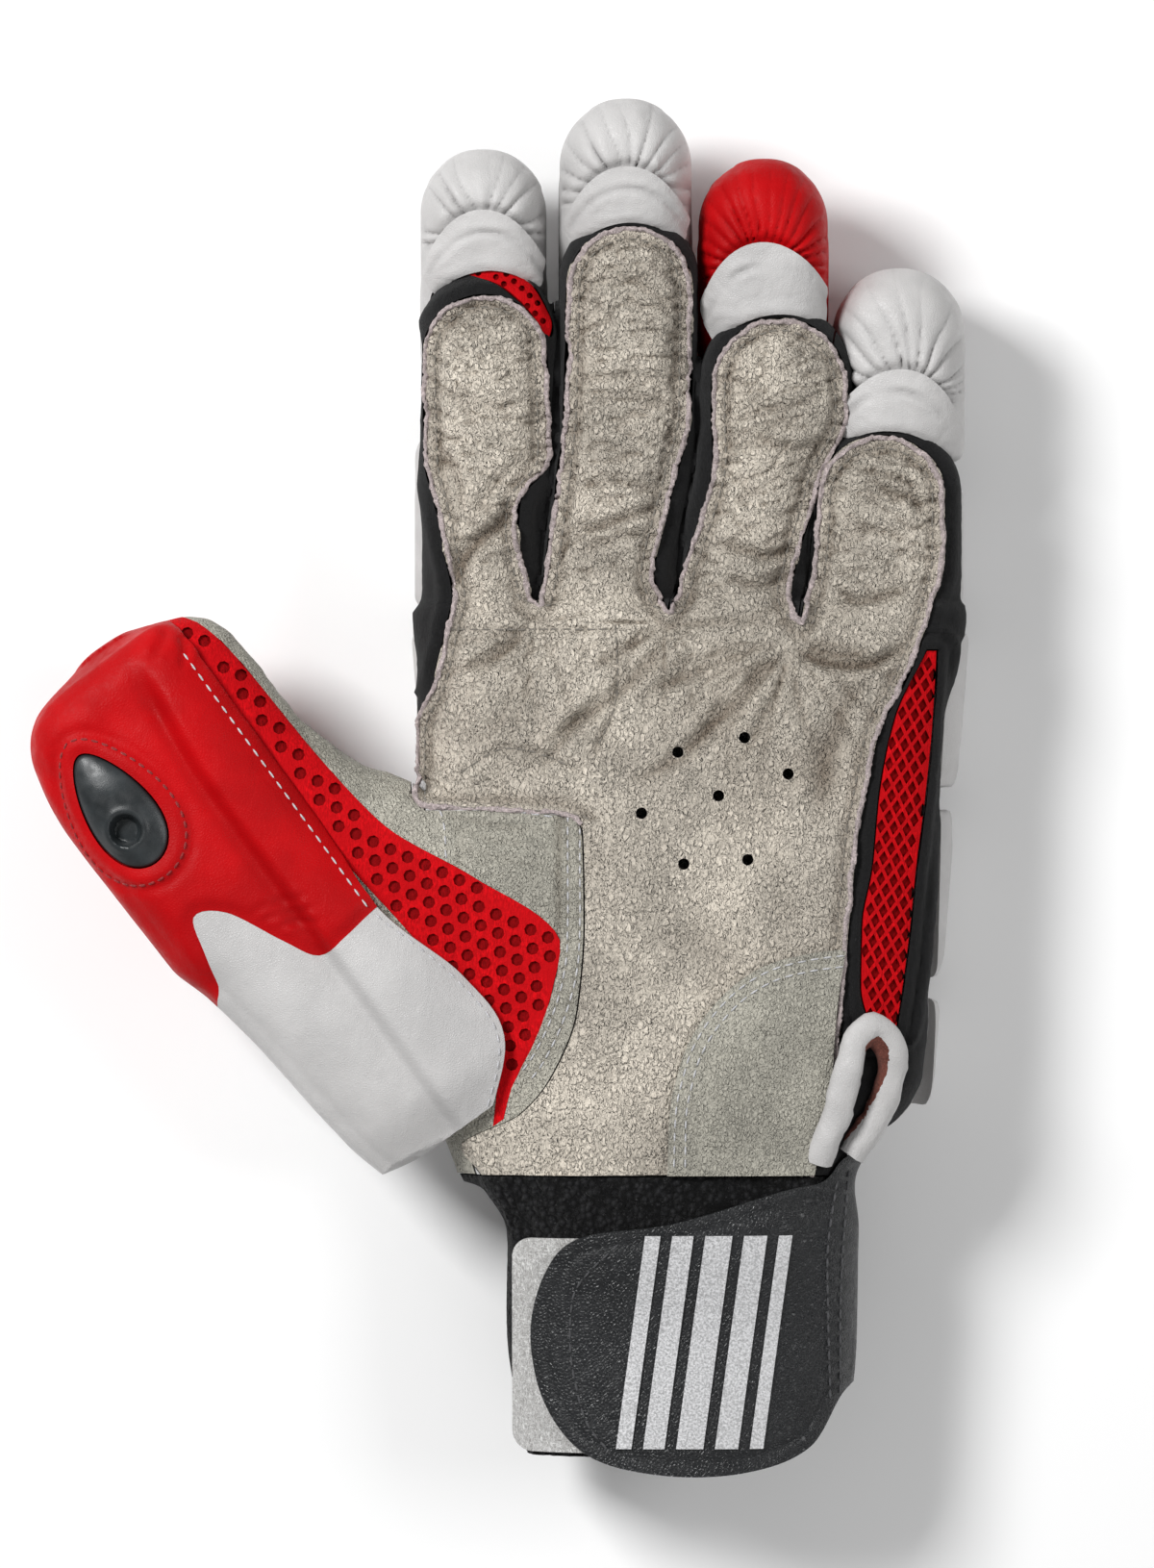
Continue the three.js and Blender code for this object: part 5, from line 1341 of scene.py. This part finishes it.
class GLOVE_OT_wrist(Operator):
    """Towelling cuff, leather strap with its print, and the fastening pad under it"""
    bl_idname = "glove.wrist"
    bl_label = "Cuff and strap"

    def execute(self, context):
        corner = standing([(0.19 * CUFF_WIDTH, -1.07 * CUFF_LENGTH), (SPAN, -1.07 * CUFF_LENGTH),
                           (SPAN, -0.63 * CUFF_LENGTH), (0.52 * CUFF_WIDTH, -0.63 * CUFF_LENGTH)])
        tube_part = kept(skin("coarse"), block(-SPAN, SPAN, -CUFF_LENGTH, -SEAM_GAP / 2))
        cuff = without(tube_part, corner)

        def pile(points):
            height = 0.9 * grain(points, 1.9, 4.0) + 0.5 * grain(points, 1.2, 8.0) - 0.25
            return np.where(points[:, 1] < -0.2 * CUFF_LENGTH, np.minimum(height, 0.1),
                            height), np.zeros(len(points))
        cuff = shelled(raised(cuff, pile, hand_field))
        finished("cuff_dressed", [(cuff, material("towel"))], ("cuff",))

        edge = flowing([(a * CUFF_WIDTH, -d * STRAP_WIDTH) for a, d in STRAP_EDGE], 1.0)
        over = kept(standing(edge), upper())
        under = without(block(0.12 * CUFF_WIDTH, SPAN, -0.85 * STRAP_WIDTH, -0.02 * STRAP_WIDTH),
                        upper(-0.35))
        beside = block(CUFF_WIDTH / 2, SPAN, -0.85 * STRAP_WIDTH, -0.02 * STRAP_WIDTH)
        low = 2 * SEAM_GAP + PAD_WALL
        tool = cut(cut(over, "UNION", under), "UNION", beside)
        strap = kept(body_layer(low, low + STRAP_WALL, 0.8), tool)
        strap = without(strap, loop_tool())
        points = places(strap)
        away, _ = distance_to(edge, points)
        top = points[:, 2] > 36
        press = -0.35 * np.exp(-((away - 3.0) / 0.7) ** 2) + 0.25 * grain(points, 11.0, 1.0)
        out = slopes(points, lambda p: BODY.field(p, low + STRAP_WALL))
        strap_face = BODY.field(points, low + 1.0) > 0
        set_places(strap, points + out * np.where(top & strap_face, press, 0)[:, None])
        tree = lookup(strap)
        inner_edge = flowing(photo((639, 1292), (612, 1318), (596, 1344), (593, 1393), (599, 1435),
                                   (611, 1475),
                                   (636, 1506)), 1.0)
        lines = [inner_edge, flowing(photo((868, 1230), (859, 1290), (859, 1356), (862, 1460)), 1.0),
                 flowing(photo((881, 1218), (873, 1328), (872, 1454)), 1.0)]
        sewn = sewn_on(tree, lines, context.scene.glove_sizes.pitch, 2.0, 0.5)
        prints = []
        face = body_layer(low + 1.4, low + 2.45, 0.8)
        for left, width in ((648, 16), (676, 22), (710, 28), (750, 24), (786, 14)):
            bar = photo((left + 22, 1280), (left + 22 + width, 1280), (left + width - 8, 1500),
                        (left - 8, 1500))
            prints.append(kept(face, standing(bar[::-1]), upper()))
        finished("strap_dressed", [(strap, material("black")), (sewn, material("dark_thread")),
                                   (joined(prints), material("foil"))], ("strap",))

        left, right = -0.452 * CUFF_WIDTH, 0.3 * CUFF_WIDTH
        near, far = -0.985 * CUFF_LENGTH, -0.22 * CUFF_LENGTH
        round_corner = 4.0
        outline = [(right, near), (right, far)]
        for cx, cy, start in ((left + round_corner, far - round_corner, 90),
                              (left + round_corner, near + round_corner, 180)):
            outline += [(cx + round_corner * math.cos(t), cy + round_corner * math.sin(t))
                        for t in np.radians(np.linspace(start, start + 90, 8))]
        pad = kept(body_layer(SEAM_GAP, SEAM_GAP + PAD_WALL, 0.9), standing(outline), upper())
        finished("strap_pad_dressed", [(pad, material("hook"))], ("strap_pad",))
        return {"FINISHED"}


def loop_points():
    """The pull loop's middle line over the heel."""
    x, y = 0.355 * PALM_WIDTH, 0.03 * PALM_LENGTH
    points = []
    for across, up in LOOP_ROUTE:
        px, py = x + across * LOOP_WIDTH, y + up * LOOP_LENGTH
        centre, half, level, depth = (float(v) for v in BODY.sections(np.array(py)))
        share = min(0.93, abs(px - centre) / half)
        points.append((px, py, level + depth * (1 - share ** BODY_BULGE) ** (1 / BODY_BULGE) + LOOP_LIFT))
    return flowing(points, 1.0)


def loop_tool():
    return tube(loop_points()[::2], LOOP_CORD / 2 + SEAM_GAP, 4)


class GLOVE_OT_loop(Operator):
    """Rolled leather pull loop at the heel's outer corner"""
    bl_idname = "glove.loop"
    bl_label = "Pull loop"

    def execute(self, context):
        way = loop_points()
        middle = way.mean(axis=0)
        inner = way + (middle - way) * 0.16 * (1, 1, 0) + (0, 0, 0.2)
        parts = []
        for route, radius, name in ((way, LOOP_CORD / 2, "white"), (inner, 2.2, "lining")):
            roll = tube(route, radius, 6)
            points = places(roll)
            nearest = route[[int(np.argmin(((route - p) ** 2).sum(axis=1))) for p in points]]
            offset = points - nearest
            set_places(roll, nearest + offset * (1.0, 1.0, 0.62))
            parts.append((ruffled(ruffled(roll, 0.5, 5.0), 0.25, 1.6, 4.0), material(name)))
        finished("pull_loop_dressed", parts, ("pull_loop",))
        return {"FINISHED"}


# Padding

def roll_form(near, far, centre_at, half_at, low_at, high_at):
    rows = []
    for y in np.linspace(near, far, 7):
        low, high = low_at(y), high_at(y)
        rows.append((y, centre_at(y), half_at(y), (low + high) / 2, (high - low) / 2))
    return Form(rows, 3.2, near=(near + 5, 5.0), far=(far - 5, 5.0), blunt=2.6)


def roll_forms():
    forms = {}
    for row, (near, far) in BACK_ROWS.items():
        for column, (left0, right0, left1, right1) in COLUMNS.items():
            def edge(start, end, y):
                return PALM_WIDTH * (start + y / PALM_LENGTH * (end - start))
            forms[f"{row}_roll_{column}"] = roll_form(
                near * PALM_LENGTH + 0.3, far * PALM_LENGTH - 0.3,
                lambda y, a=left0, b=right0, c=left1, d=right1: (edge(a, c, y) + edge(b, d, y)) / 2,
                lambda y, a=left0, b=right0, c=left1, d=right1: (edge(b, d, y) - edge(a, c, y) - 0.6) / 2,
                lambda y: -1.0, lambda y: float(body_middle(y)) - PALM_DEPTH / 8)
    for finger in HAND:
        forms["mid_roll_" + finger.name] = roll_form(
            BACK_ROWS["knuckle"][1] * PALM_LENGTH + 0.3, finger.split - 0.3, lambda y, f=finger: f.mid,
            lambda y, f=finger: f.half, lambda y, f=finger: float(f.lift_at(y)),
            lambda y, f=finger: float(f.middle_at(y)) - FINGER_DEPTH / 10)
        forms["tip_roll_" + finger.name] = tip_form(finger)
    return forms


def tip_form(finger):
    near = finger.split + ROLL_SPACING / 2
    dome = finger.far - finger.half
    rows = []
    for y in np.linspace(near, finger.far, 14):
        low = float(finger.lift_at(y))
        rise = float(step_up(finger.tip - finger.radius, finger.tip, y))
        high = float(finger.middle_at(y)) - FINGER_DEPTH / 10 + rise * FINGER_DEPTH * 0.42
        rows.append((y, finger.cap, finger.half, (low + high) / 2, (high - low) / 2))
    return Form(rows, ROLL_BULGE, near=(near + 4, 4.0), far=(dome, finger.half), blunt=2.0)


def swollen(forms, pressure):
    """Padded rolls blown up by a cloth simulation from slightly smaller starts, all in one run."""
    starts = {name: remeshed(form.blank(28, 28, -1.3), 4.2 if name.startswith("tip") else 3.5)
              for name, form in forms.items()}
    counts = [len(mesh.vertices) for mesh in starts.values()]
    rest = joined(starts.values())
    first = places(rest)
    holder = bpy.data.objects.new("rolls", rest)
    bpy.context.collection.objects.link(holder)
    cloth = holder.modifiers.new("cloth", "CLOTH")
    cloth.settings.use_pressure = True
    cloth.settings.uniform_pressure_force = pressure
    cloth.settings.effector_weights.gravity = 0
    cloth.settings.quality = 4
    cloth.settings.tension_stiffness = 8
    cloth.settings.compression_stiffness = 8
    cloth.collision_settings.use_collision = False
    cloth.point_cache.frame_start, cloth.point_cache.frame_end = 1, 20
    for step in range(1, 21):
        bpy.context.scene.frame_set(step)
    done = bpy.data.meshes.new_from_object(holder.evaluated_get(bpy.context.evaluated_depsgraph_get()))
    moved = places(done) - first
    bpy.data.objects.remove(holder)
    bpy.context.scene.frame_set(1)
    size = np.maximum(np.linalg.norm(moved, axis=1), 1e-9)[:, None]
    first = first + moved * np.minimum(1, 2.2 / size)
    pads, start = {}, 0
    for (name, mesh), count in zip(starts.items(), counts):
        set_places(mesh, first[start:start + count])
        start += count
        pads[name] = mesh
    return pads


def seated(mesh, form, slack=0.7):
    """Points brought within a little of the roll's form, clear of the hand and of the ground."""
    points = places(mesh)
    value = form.field(points)
    wish = np.clip(value, -slack, 0)
    slope = slopes(points, form.field)
    points -= slope * (value - wish)[:, None]
    value = hand_field(points, 0.45)
    near = value < 0
    if near.any():
        touched = points[near]
        for _ in range(8):
            depth = np.minimum(hand_field(touched, 0.45), 0)
            slope = slopes(touched, hand_field)
            way = np.stack((slope[:, 0], slope[:, 1], np.minimum(slope[:, 2], -0.7)), axis=1)
            way /= np.linalg.norm(way, axis=1)[:, None]
            share = np.maximum((way * slope).sum(axis=1), 0.3)
            touched -= way * np.maximum(depth / share, -1.5)[:, None]
        points[near] = touched
    points[:, 2] = np.maximum(points[:, 2], 0)
    set_places(mesh, points)
    return mesh


# How far each band reaches past its fingertip's stall, in millimetres.
BAND_REACH = {"index": 10.1, "middle": 9.1, "ring": 12.4, "little": 10.4}


def band_arc(finger, length):
    """Outline from the left to the right at a length past the stall's end."""
    radius = finger.radius + SEAM_GAP
    x, y = float(finger.centre_at(finger.tip)), finger.tip - radius + SEAM_GAP
    out = []
    for turn in np.radians(np.linspace(180, 0, 40)):
        lean = (finger.cap - x) * length * math.sin(turn) / BAND_LENGTH
        out.append((x + lean + (radius + length / 8) * math.cos(turn),
                    y + (radius + length) * math.sin(turn)))
    return out


# Where each fingertip's pleats fan from, on the front view, with their count and their reach in millimetres.
GATHERS = {"index": ((501, 262), 21, 10.0), "middle": ((651, 216), 24, 11.0),
           "ring": ((793, 296), 38, 13.0), "little": ((945, 424), 27, 13.0)}


def pleated(mesh, name, form):
    """Radial pleats that fan from the band's edge, where the tip's leather is gathered, with painted shade in
    their valleys and under the band's edge.
    """
    spot, count, reach = GATHERS[name]
    finger = next(f for f in HAND if f.name == name)
    (gx, gy), = photo(spot)
    points = places(mesh)
    x, y = points[:, 0] - gx, points[:, 1] - gy
    radius, turn = np.hypot(x, y), np.arctan2(y, x)
    seed = len(name) + gx
    shift = np.array([noise.noise(Vector((t * 1.9, r * 0.06, seed))) for t, r in zip(turn, radius)])
    strong = np.array([0.75 + 0.9 * noise.noise(Vector((t * 4.1 + 9, r * 0.04, seed))) for t,
                       r in zip(turn, radius)])
    wave = np.abs(np.sin(turn * count / 2 + 2.6 * shift)) ** 0.5 - 0.75
    edge = band_arc(finger, BAND_REACH[name])
    past, _ = distance_to(edge, points)
    past = np.where(inside([*edge, (edge[-1][0], gy - 40), (edge[0][0], gy - 40)], points), -past, past)
    fade = np.where(past > 0, np.exp(-(np.maximum(past, 0) / reach) ** 2), np.exp(-(past / 1.0) ** 2))
    fan = step_up(-0.2, 0.3, np.sin(turn))
    top = step_up(0.0, 0.3, slopes(points, form.field)[:, 2])
    height = 1.6 * wave * fade * fan * np.clip(strong, 0.15, 1.3) * top
    tuck = -1.2 * np.exp(-(np.maximum(past, 0) / 1.3) ** 2) * top * fan
    set_places(mesh, points + slopes(points, form.field) * (height + tuck)[:, None])
    fold = mesh.attributes.new("fold", "FLOAT", "POINT")
    # Painted shade in the pleats' valleys and under the band's edge.
    painted_shade = np.clip((-0.25 - wave) * 1.9, 0, 0.75) * fade * fan * top
    painted_shade = painted_shade + 0.35 * np.exp(-(past / 0.8) ** 2) * fan * top
    fold.data.foreach_set("value", np.clip(painted_shade, 0, 0.7).astype(np.float32))
    return mesh


class GLOVE_OT_rolls(Operator):
    """Padded rolls behind the hand and the fingers, and the gathered fingertips"""
    bl_idname = "glove.rolls"
    bl_label = "Padded rolls"

    def execute(self, context):
        forms = roll_forms()
        pads = swollen(forms, context.scene.glove_sizes.swell)
        for name, mesh in pads.items():
            form = forms[name]
            red = name == "tip_roll_ring"
            tip = name.startswith("tip_roll")
            mesh = seated(subdivided(mesh, 3 if tip else 2), form, 0.25 if tip else 0.7)
            if tip:
                mesh = pleated(mesh, name.split("_")[-1], form)
            finished(name + "_dressed", [(mesh, material("red" if red else "white"))], (name,))
        return {"FINISHED"}


class GLOVE_OT_bands(Operator):
    """Folded leather bands over the fingertips' shoulders"""
    bl_idname = "glove.bands"
    bl_label = "Tip bands"

    def execute(self, context):
        for finger in HAND:
            form = tip_form(finger)
            grown = [SEAM_GAP + 1.3, SEAM_GAP - 0.8]
            shells = []
            for amount, size in zip(grown, (0.6, 1.0)):
                mesh = remeshed(form.blank(48, 48, amount), size)
                set_places(mesh, settled(places(mesh), lambda p, a=amount: form.field(p, a)))
                shells.append(mesh)
            low = finger.tip - finger.radius - 5
            top_edge, low_edge = band_arc(finger, BAND_REACH[finger.name]), band_arc(finger, -2.3)
            outline = top_edge[::-1] + [(top_edge[0][0], low), (low_edge[0][0], low)] + low_edge
            outline += [(low_edge[-1][0], low), (top_edge[-1][0], low)]
            band = kept(shells[0], standing(outline), block(finger.cap - finger.half,
                                                            finger.cap + finger.half, 0, SPAN),
                        above(lambda v: finger.middle_at(v) + FINGER_DEPTH / 10, LEVELS))
            inner_arc, outer_arc = np.array(low_edge), np.array(band_arc(finger,
                                                                         BAND_REACH[finger.name] - 4.6))

            def relief(points):
                away, _ = distance_to(outer_arc, points)
                lower, _ = distance_to(inner_arc, points)
                broken = np.clip(0.5 + grain(points, 9.0, 3.0) * 1.6, 0, 1)
                fold = broken * (0.3 * np.exp(-((away - 1.4) / 1.0) ** 2) - 0.5 * np.exp(-(away / 0.6) ** 2))
                lip = 0.25 * np.exp(-((lower - 1.2) / 1.2) ** 2)
                fine = 0.14 * np.maximum(0, 1 - np.abs(grain(points, (7.0, 2.4, 4.0), 5.0)) * 4) ** 2
                # Painted shade along the band's fold line and its lower edge.
                painted_shade = 0.4 * broken * np.exp(-(away / 0.7) ** 2) + 0.25 * np.exp(-(lower / 0.8) ** 2)
                return fold + lip - fine + 0.25 * grain(points, 7.0, 1.0), painted_shade
            band = raised(band, relief, form.field)
            band = without(band, shells[1])
            finished(f"tip_band_{finger.name}_dressed", [(band, material("white"))],
                     (f"tip_band_{finger.name}",))
        return {"FINISHED"}


# Thumb guard

RIB_WIDTH = 13.0
RIB_STEP = 2.6
VENT_MIDDLE = (-0.73 * GUARD_WIDTH, 0.76 * THUMB_LENGTH)
VENT_HALF_WIDTH, VENT_HALF_LENGTH, VENT_NARROW, VENT_SLACK, VENT_POCKET = 7.0, 13.5, 0.28, 0.1, 3.0


def guard_relief(points):
    """The rib beside the stitched edge, the shoulder down from it and the flat facet beyond, with painted
    shade along the shoulder.
    """
    across, up = thumb_lengths(points)
    top = step_up(0.25, 0.6, slopes(points, GUARD.field)[:, 2])
    rib_edge = -RIB_WIDTH + 2.5 * step_up(90, 118, up)
    rib = 1 - step_up(-1.6, 1.6, rib_edge - across)
    fade = 1 - step_up(108, 121, up)
    height = -RIB_STEP * (1 - rib) * top * fade
    shoulder = np.exp(-((across - rib_edge + 2.0) / 1.6) ** 2) * top * fade
    height -= 0.8 * shoulder
    height += 0.03 * np.maximum(0, rib_edge - across) * top * (1 - step_up(100, 121, up))
    height += 0.3 * top * np.exp(-((across + RIB_WIDTH * 0.45) / 4.0) ** 2)
    # The second value is painted shade along the shoulder.
    return height, 0.25 * shoulder, top


GUARD_CREASES = (
    (((200, 655), (208, 668), (214, 688)), 0.7, 0.8),
    (((190, 662), (194, 680), (192, 700)), 0.5, 0.8),
    (((176, 655), (172, 672), (160, 690)), 0.5, 0.9),
    (((290, 962), (315, 955), (338, 958)), 0.5, 0.8),
    (((270, 955), (300, 948), (335, 942)), 0.4, 0.8),
    (((258, 950), (290, 938), (325, 930)), 0.3, 0.8),
)


class GLOVE_OT_guard(Operator):
    """Padded thumb guard in two pieces, with its rib, stitching and moulded vent"""
    bl_idname = "glove.guard"
    bl_label = "Thumb guard"

    def execute(self, context):
        whole = remeshed(GUARD.blank(64, 70), 0.8)
        set_places(whole, settled(places(whole), GUARD.field))
        seam = [thumb_place(a * GUARD_WIDTH, u * THUMB_LENGTH) for a, u in GUARD_SEAM]
        stitched = standing([thumb_place(-150, -0.1 * THUMB_LENGTH), *flowing(seam, 2.0),
                             thumb_place(-150, 1.5 * THUMB_LENGTH)])
        stall = remeshed(THUMB.blank(grow=SEAM_GAP), 1.4)
        set_places(stall, settled(places(stall), lambda p: THUMB.field(p, SEAM_GAP)))
        ys = np.linspace(-58, 118, 40)
        centre, half, _, _ = BODY.sections(ys)
        beside = standing([*zip(centre - half - SKIN_WALL, ys), (SPAN, 118), (SPAN, -58)], -60, THUMB_MIDDLE)
        edge = [thumb_place(a * GUARD_WIDTH, u * THUMB_LENGTH) for a, u in GUARD_EDGE]
        edge = flowing(edge, 1.5)
        far = [thumb_place(-1.3 * GUARD_WIDTH, 1.5 * THUMB_LENGTH),
               thumb_place(0.3 * GUARD_WIDTH, 1.5 * THUMB_LENGTH)]
        top_tool = standing([*edge, *far])

        def red_relief(points):
            height, painted_shade, top = guard_relief(points)
            depth, extra = folds(points, GUARD_CREASES)
            away, _ = distance_to(edge, points)
            height = height + 0.9 * top * step_up(0.0, 3.2, away)
            vent, _ = distance_to(vent_outline(2.3), points)
            within = inside(vent_outline(2.3), points)
            rim = np.exp(-(vent / 1.5) ** 2) - 0.9 * np.exp(-((vent - 2.6) / 1.1) ** 2) * ~within
            # Painted shade from the shoulder and the creases.
            return height + (depth + 0.55 * rim) * top + 0.2 * grain(points, 8.0, 1.0), np.clip(painted_shade + extra,
                                                                                                0, 0.7)

        def white_relief(points):
            height, painted_shade, _ = guard_relief(points)
            # Fainter painted shade along the shoulder.
            return height * 0.8 + 0.15 * grain(points, 9.0, 4.0), 0.3 * painted_shade
        bare = kept(whole, stitched)
        red = raised(kept(bare, top_tool), red_relief, GUARD.field)
        red = without(red, stall, skin("coarse"), beside)
        face = lookup(red)
        lowest = min(face.ray_cast(Vector((x, y, 150)), Vector((0, 0, -1)))[0].z for x,
                     y in vent_outline(-0.3))
        pocket_floor = lowest - VENT_POCKET
        red = without(red, standing(vent_outline(0.2), pocket_floor))
        tree = lookup(red)
        line = flowing([thumb_place(-1.6, v) for v in np.linspace(51, 116, 12)], 1.0)
        row = sewn_on(tree, [line], context.scene.glove_sizes.pitch, 1.9, 0.45)
        ring = np.array(vent_outline(3.4) + vent_outline(3.4)[:1])
        around = sewn_on(tree, [ring], 2.2, 1.5, 0.5)
        finished("thumb_guard_dressed", [(red, material("red")), (row, material("thread")),
                                         (around, material("red_thread"))], ("thumb_guard",))
        white = raised(without(bare, top_tool), white_relief, GUARD.field)
        white = without(white, stall, skin("coarse"), beside)
        hem = flowing([thumb_place(a * GUARD_WIDTH - 1.5, u * THUMB_LENGTH) for a, u in GUARD_SEAM[1:5]],
                      1.0)[4:]
        hem = sewn_on(lookup(white), [hem], context.scene.glove_sizes.pitch, 1.8, 0.45)
        finished("thumb_guard_base_dressed", [(white, material("white")), (hem, material("thread"))],
                 ("thumb_guard_base",))
        finished("thumb_vent_dressed", [(vent_mesh(face, pocket_floor), material("rubber"))], ("thumb_vent",))
        return {"FINISHED"}


def vent_outline(grow=0.0, count=48):
    """Drop shape, round at its lower end."""
    out = []
    for turn in np.linspace(0, 2 * math.pi, count, endpoint=False)[::-1]:
        narrow = 1 - VENT_NARROW * math.cos(turn)
        out.append(thumb_place(VENT_MIDDLE[0] + (VENT_HALF_WIDTH + grow) * math.sin(turn) * narrow,
                               VENT_MIDDLE[1] + (VENT_HALF_LENGTH + grow) * math.cos(turn)))
    return out


def vent_mesh(face, floor):
    """Domed drop of rubber, let into the guard's face, with a round dimple near its wide end."""
    bm = bmesh.new()
    bmesh.ops.create_grid(bm, x_segments=60, y_segments=60, size=1)
    mesh = mesh_from(bm)
    unit = places(mesh)
    u, v = unit[:, 0], unit[:, 1]
    disc = np.stack((u * np.sqrt(1 - v * v / 2), v * np.sqrt(1 - u * u / 2)), axis=1)
    radius = np.linalg.norm(disc, axis=1)
    narrow = 1 - VENT_NARROW * disc[:, 1]
    across = VENT_MIDDLE[0] + (VENT_HALF_WIDTH - VENT_SLACK) * disc[:, 0] * narrow
    up = VENT_MIDDLE[1] + (VENT_HALF_LENGTH - VENT_SLACK) * disc[:, 1]
    x, y = thumb_place(across, up)
    hits = [face.ray_cast(Vector((a, b, 150)), Vector((0, 0, -1)))[0] for a, b in zip(x, y)]
    level = np.array([hit.z if hit else floor + VENT_POCKET for hit in hits])
    crown = level - 0.5 + 1.7 * np.sqrt(np.clip(1 - radius ** 2.6, 0, 1))
    dimple = np.hypot(across + 32.5, up - 92.0)
    crown += 0.25 * np.exp(-((dimple - 4.1) / 0.7) ** 2) - 4.0 * (1 - step_up(2.3, 3.5, dimple))
    set_places(mesh, np.stack((x, y, crown), axis=1))
    bm = bmesh.new()
    bm.from_mesh(mesh)
    wall = bmesh.ops.extrude_edge_only(bm, edges=[e for e in bm.edges if e.is_boundary])
    ring = [v for v in wall["geom"] if isinstance(v, bmesh.types.BMVert)]
    for vert in ring:
        vert.co.z = floor + 0.3
    bmesh.ops.holes_fill(bm, edges=[e for e in bm.edges if e.is_boundary], sides=0)
    bmesh.ops.recalc_face_normals(bm, faces=bm.faces)
    return mesh_from(bm)


# Stage

class GLOVE_OT_stage(Operator):
    """Pale floor, soft studio light and a camera straight above"""
    bl_idname = "glove.stage"
    bl_label = "Stage"

    def execute(self, context):
        scene = context.scene
        bm = bmesh.new()
        bmesh.ops.create_grid(bm, x_segments=1, y_segments=1, size=4)
        floor = bpy.data.objects.new("floor", mesh_from(bm))
        scene.collection.objects.link(floor)
        paper = Finish("floor_paper", roughness=0.9, Specular_IOR_Level=0.0)
        paper.colour(paper.blend(paper.ramp(paper.noise(400, 2), 0.3, 0.7), (0.9, 0.9, 0.9, 1),
                                 (0.93, 0.93, 0.93, 1)))
        floor.data.materials.append(paper.material)
        world = bpy.data.worlds.new("studio")
        world.use_nodes = True
        world.node_tree.nodes["Background"].inputs[0].default_value = (1, 1, 1, 1)
        world.node_tree.nodes["Background"].inputs[1].default_value = 0.25
        scene.world = world
        for name, place, size, power in (("key", (-0.62, 0.42, 0.95), 0.35, 14),
                                         ("side", (0.95, 0.1, 1.0), 0.5, 5.0),
                                         ("front", (0.2, -0.9, 0.9), 0.8, 1.5)):
            light = bpy.data.lights.new(name, "AREA")
            light.size, light.energy = size, power
            lamp = bpy.data.objects.new(name, light)
            lamp.location = place
            lamp.rotation_euler = (-Vector(place)).to_track_quat("-Z", "Y").to_euler()
            scene.collection.objects.link(lamp)
        lens = bpy.data.cameras.new("camera")
        lens.lens = 200
        camera = bpy.data.objects.new("camera", lens)
        centre = (np.array((-20.0, 81.0, 0)) + HAND_ORIGIN) * MM
        camera.location = (centre[0], centre[1], 0.326 * 200 / 36 + 0.034)
        scene.collection.objects.link(camera)
        scene.camera = camera
        scene.view_settings.view_transform = "Standard"
        return {"FINISHED"}


PIECES = (GLOVE_OT_stage, GLOVE_OT_palm, GLOVE_OT_thumb_leather, GLOVE_OT_felt, GLOVE_OT_thumb_mesh,
          GLOVE_OT_heel_patch, GLOVE_OT_wrist, GLOVE_OT_loop, GLOVE_OT_rolls, GLOVE_OT_bands, GLOVE_OT_guard)


class GLOVE_PT_panel(Panel):
    """The glove's sizes, colours and pieces"""
    bl_idname = "GLOVE_PT_panel"
    bl_label = "Batting glove"
    bl_space_type = "VIEW_3D"
    bl_region_type = "UI"
    bl_category = "Glove"

    def draw(self, context):
        for group in (context.scene.glove_sizes, context.scene.glove_colours):
            for key in group.__annotations__:
                self.layout.prop(group, key)
        for piece in PIECES:
            self.layout.operator(piece.bl_idname)


CLASSES = (GloveSizes, GloveColours, *PIECES, GLOVE_PT_panel)


def register():
    for item in CLASSES:
        bpy.utils.register_class(item)
    bpy.types.Scene.glove_sizes = PointerProperty(type=GloveSizes)
    bpy.types.Scene.glove_colours = PointerProperty(type=GloveColours)


def unregister():
    del bpy.types.Scene.glove_colours
    del bpy.types.Scene.glove_sizes
    for item in reversed(CLASSES):
        bpy.utils.unregister_class(item)


def main():
    register()
    for piece in PIECES:
        group, name = piece.bl_idname.split(".")
        getattr(getattr(bpy.ops, group), name)()


if __name__ == "__main__":
    main()
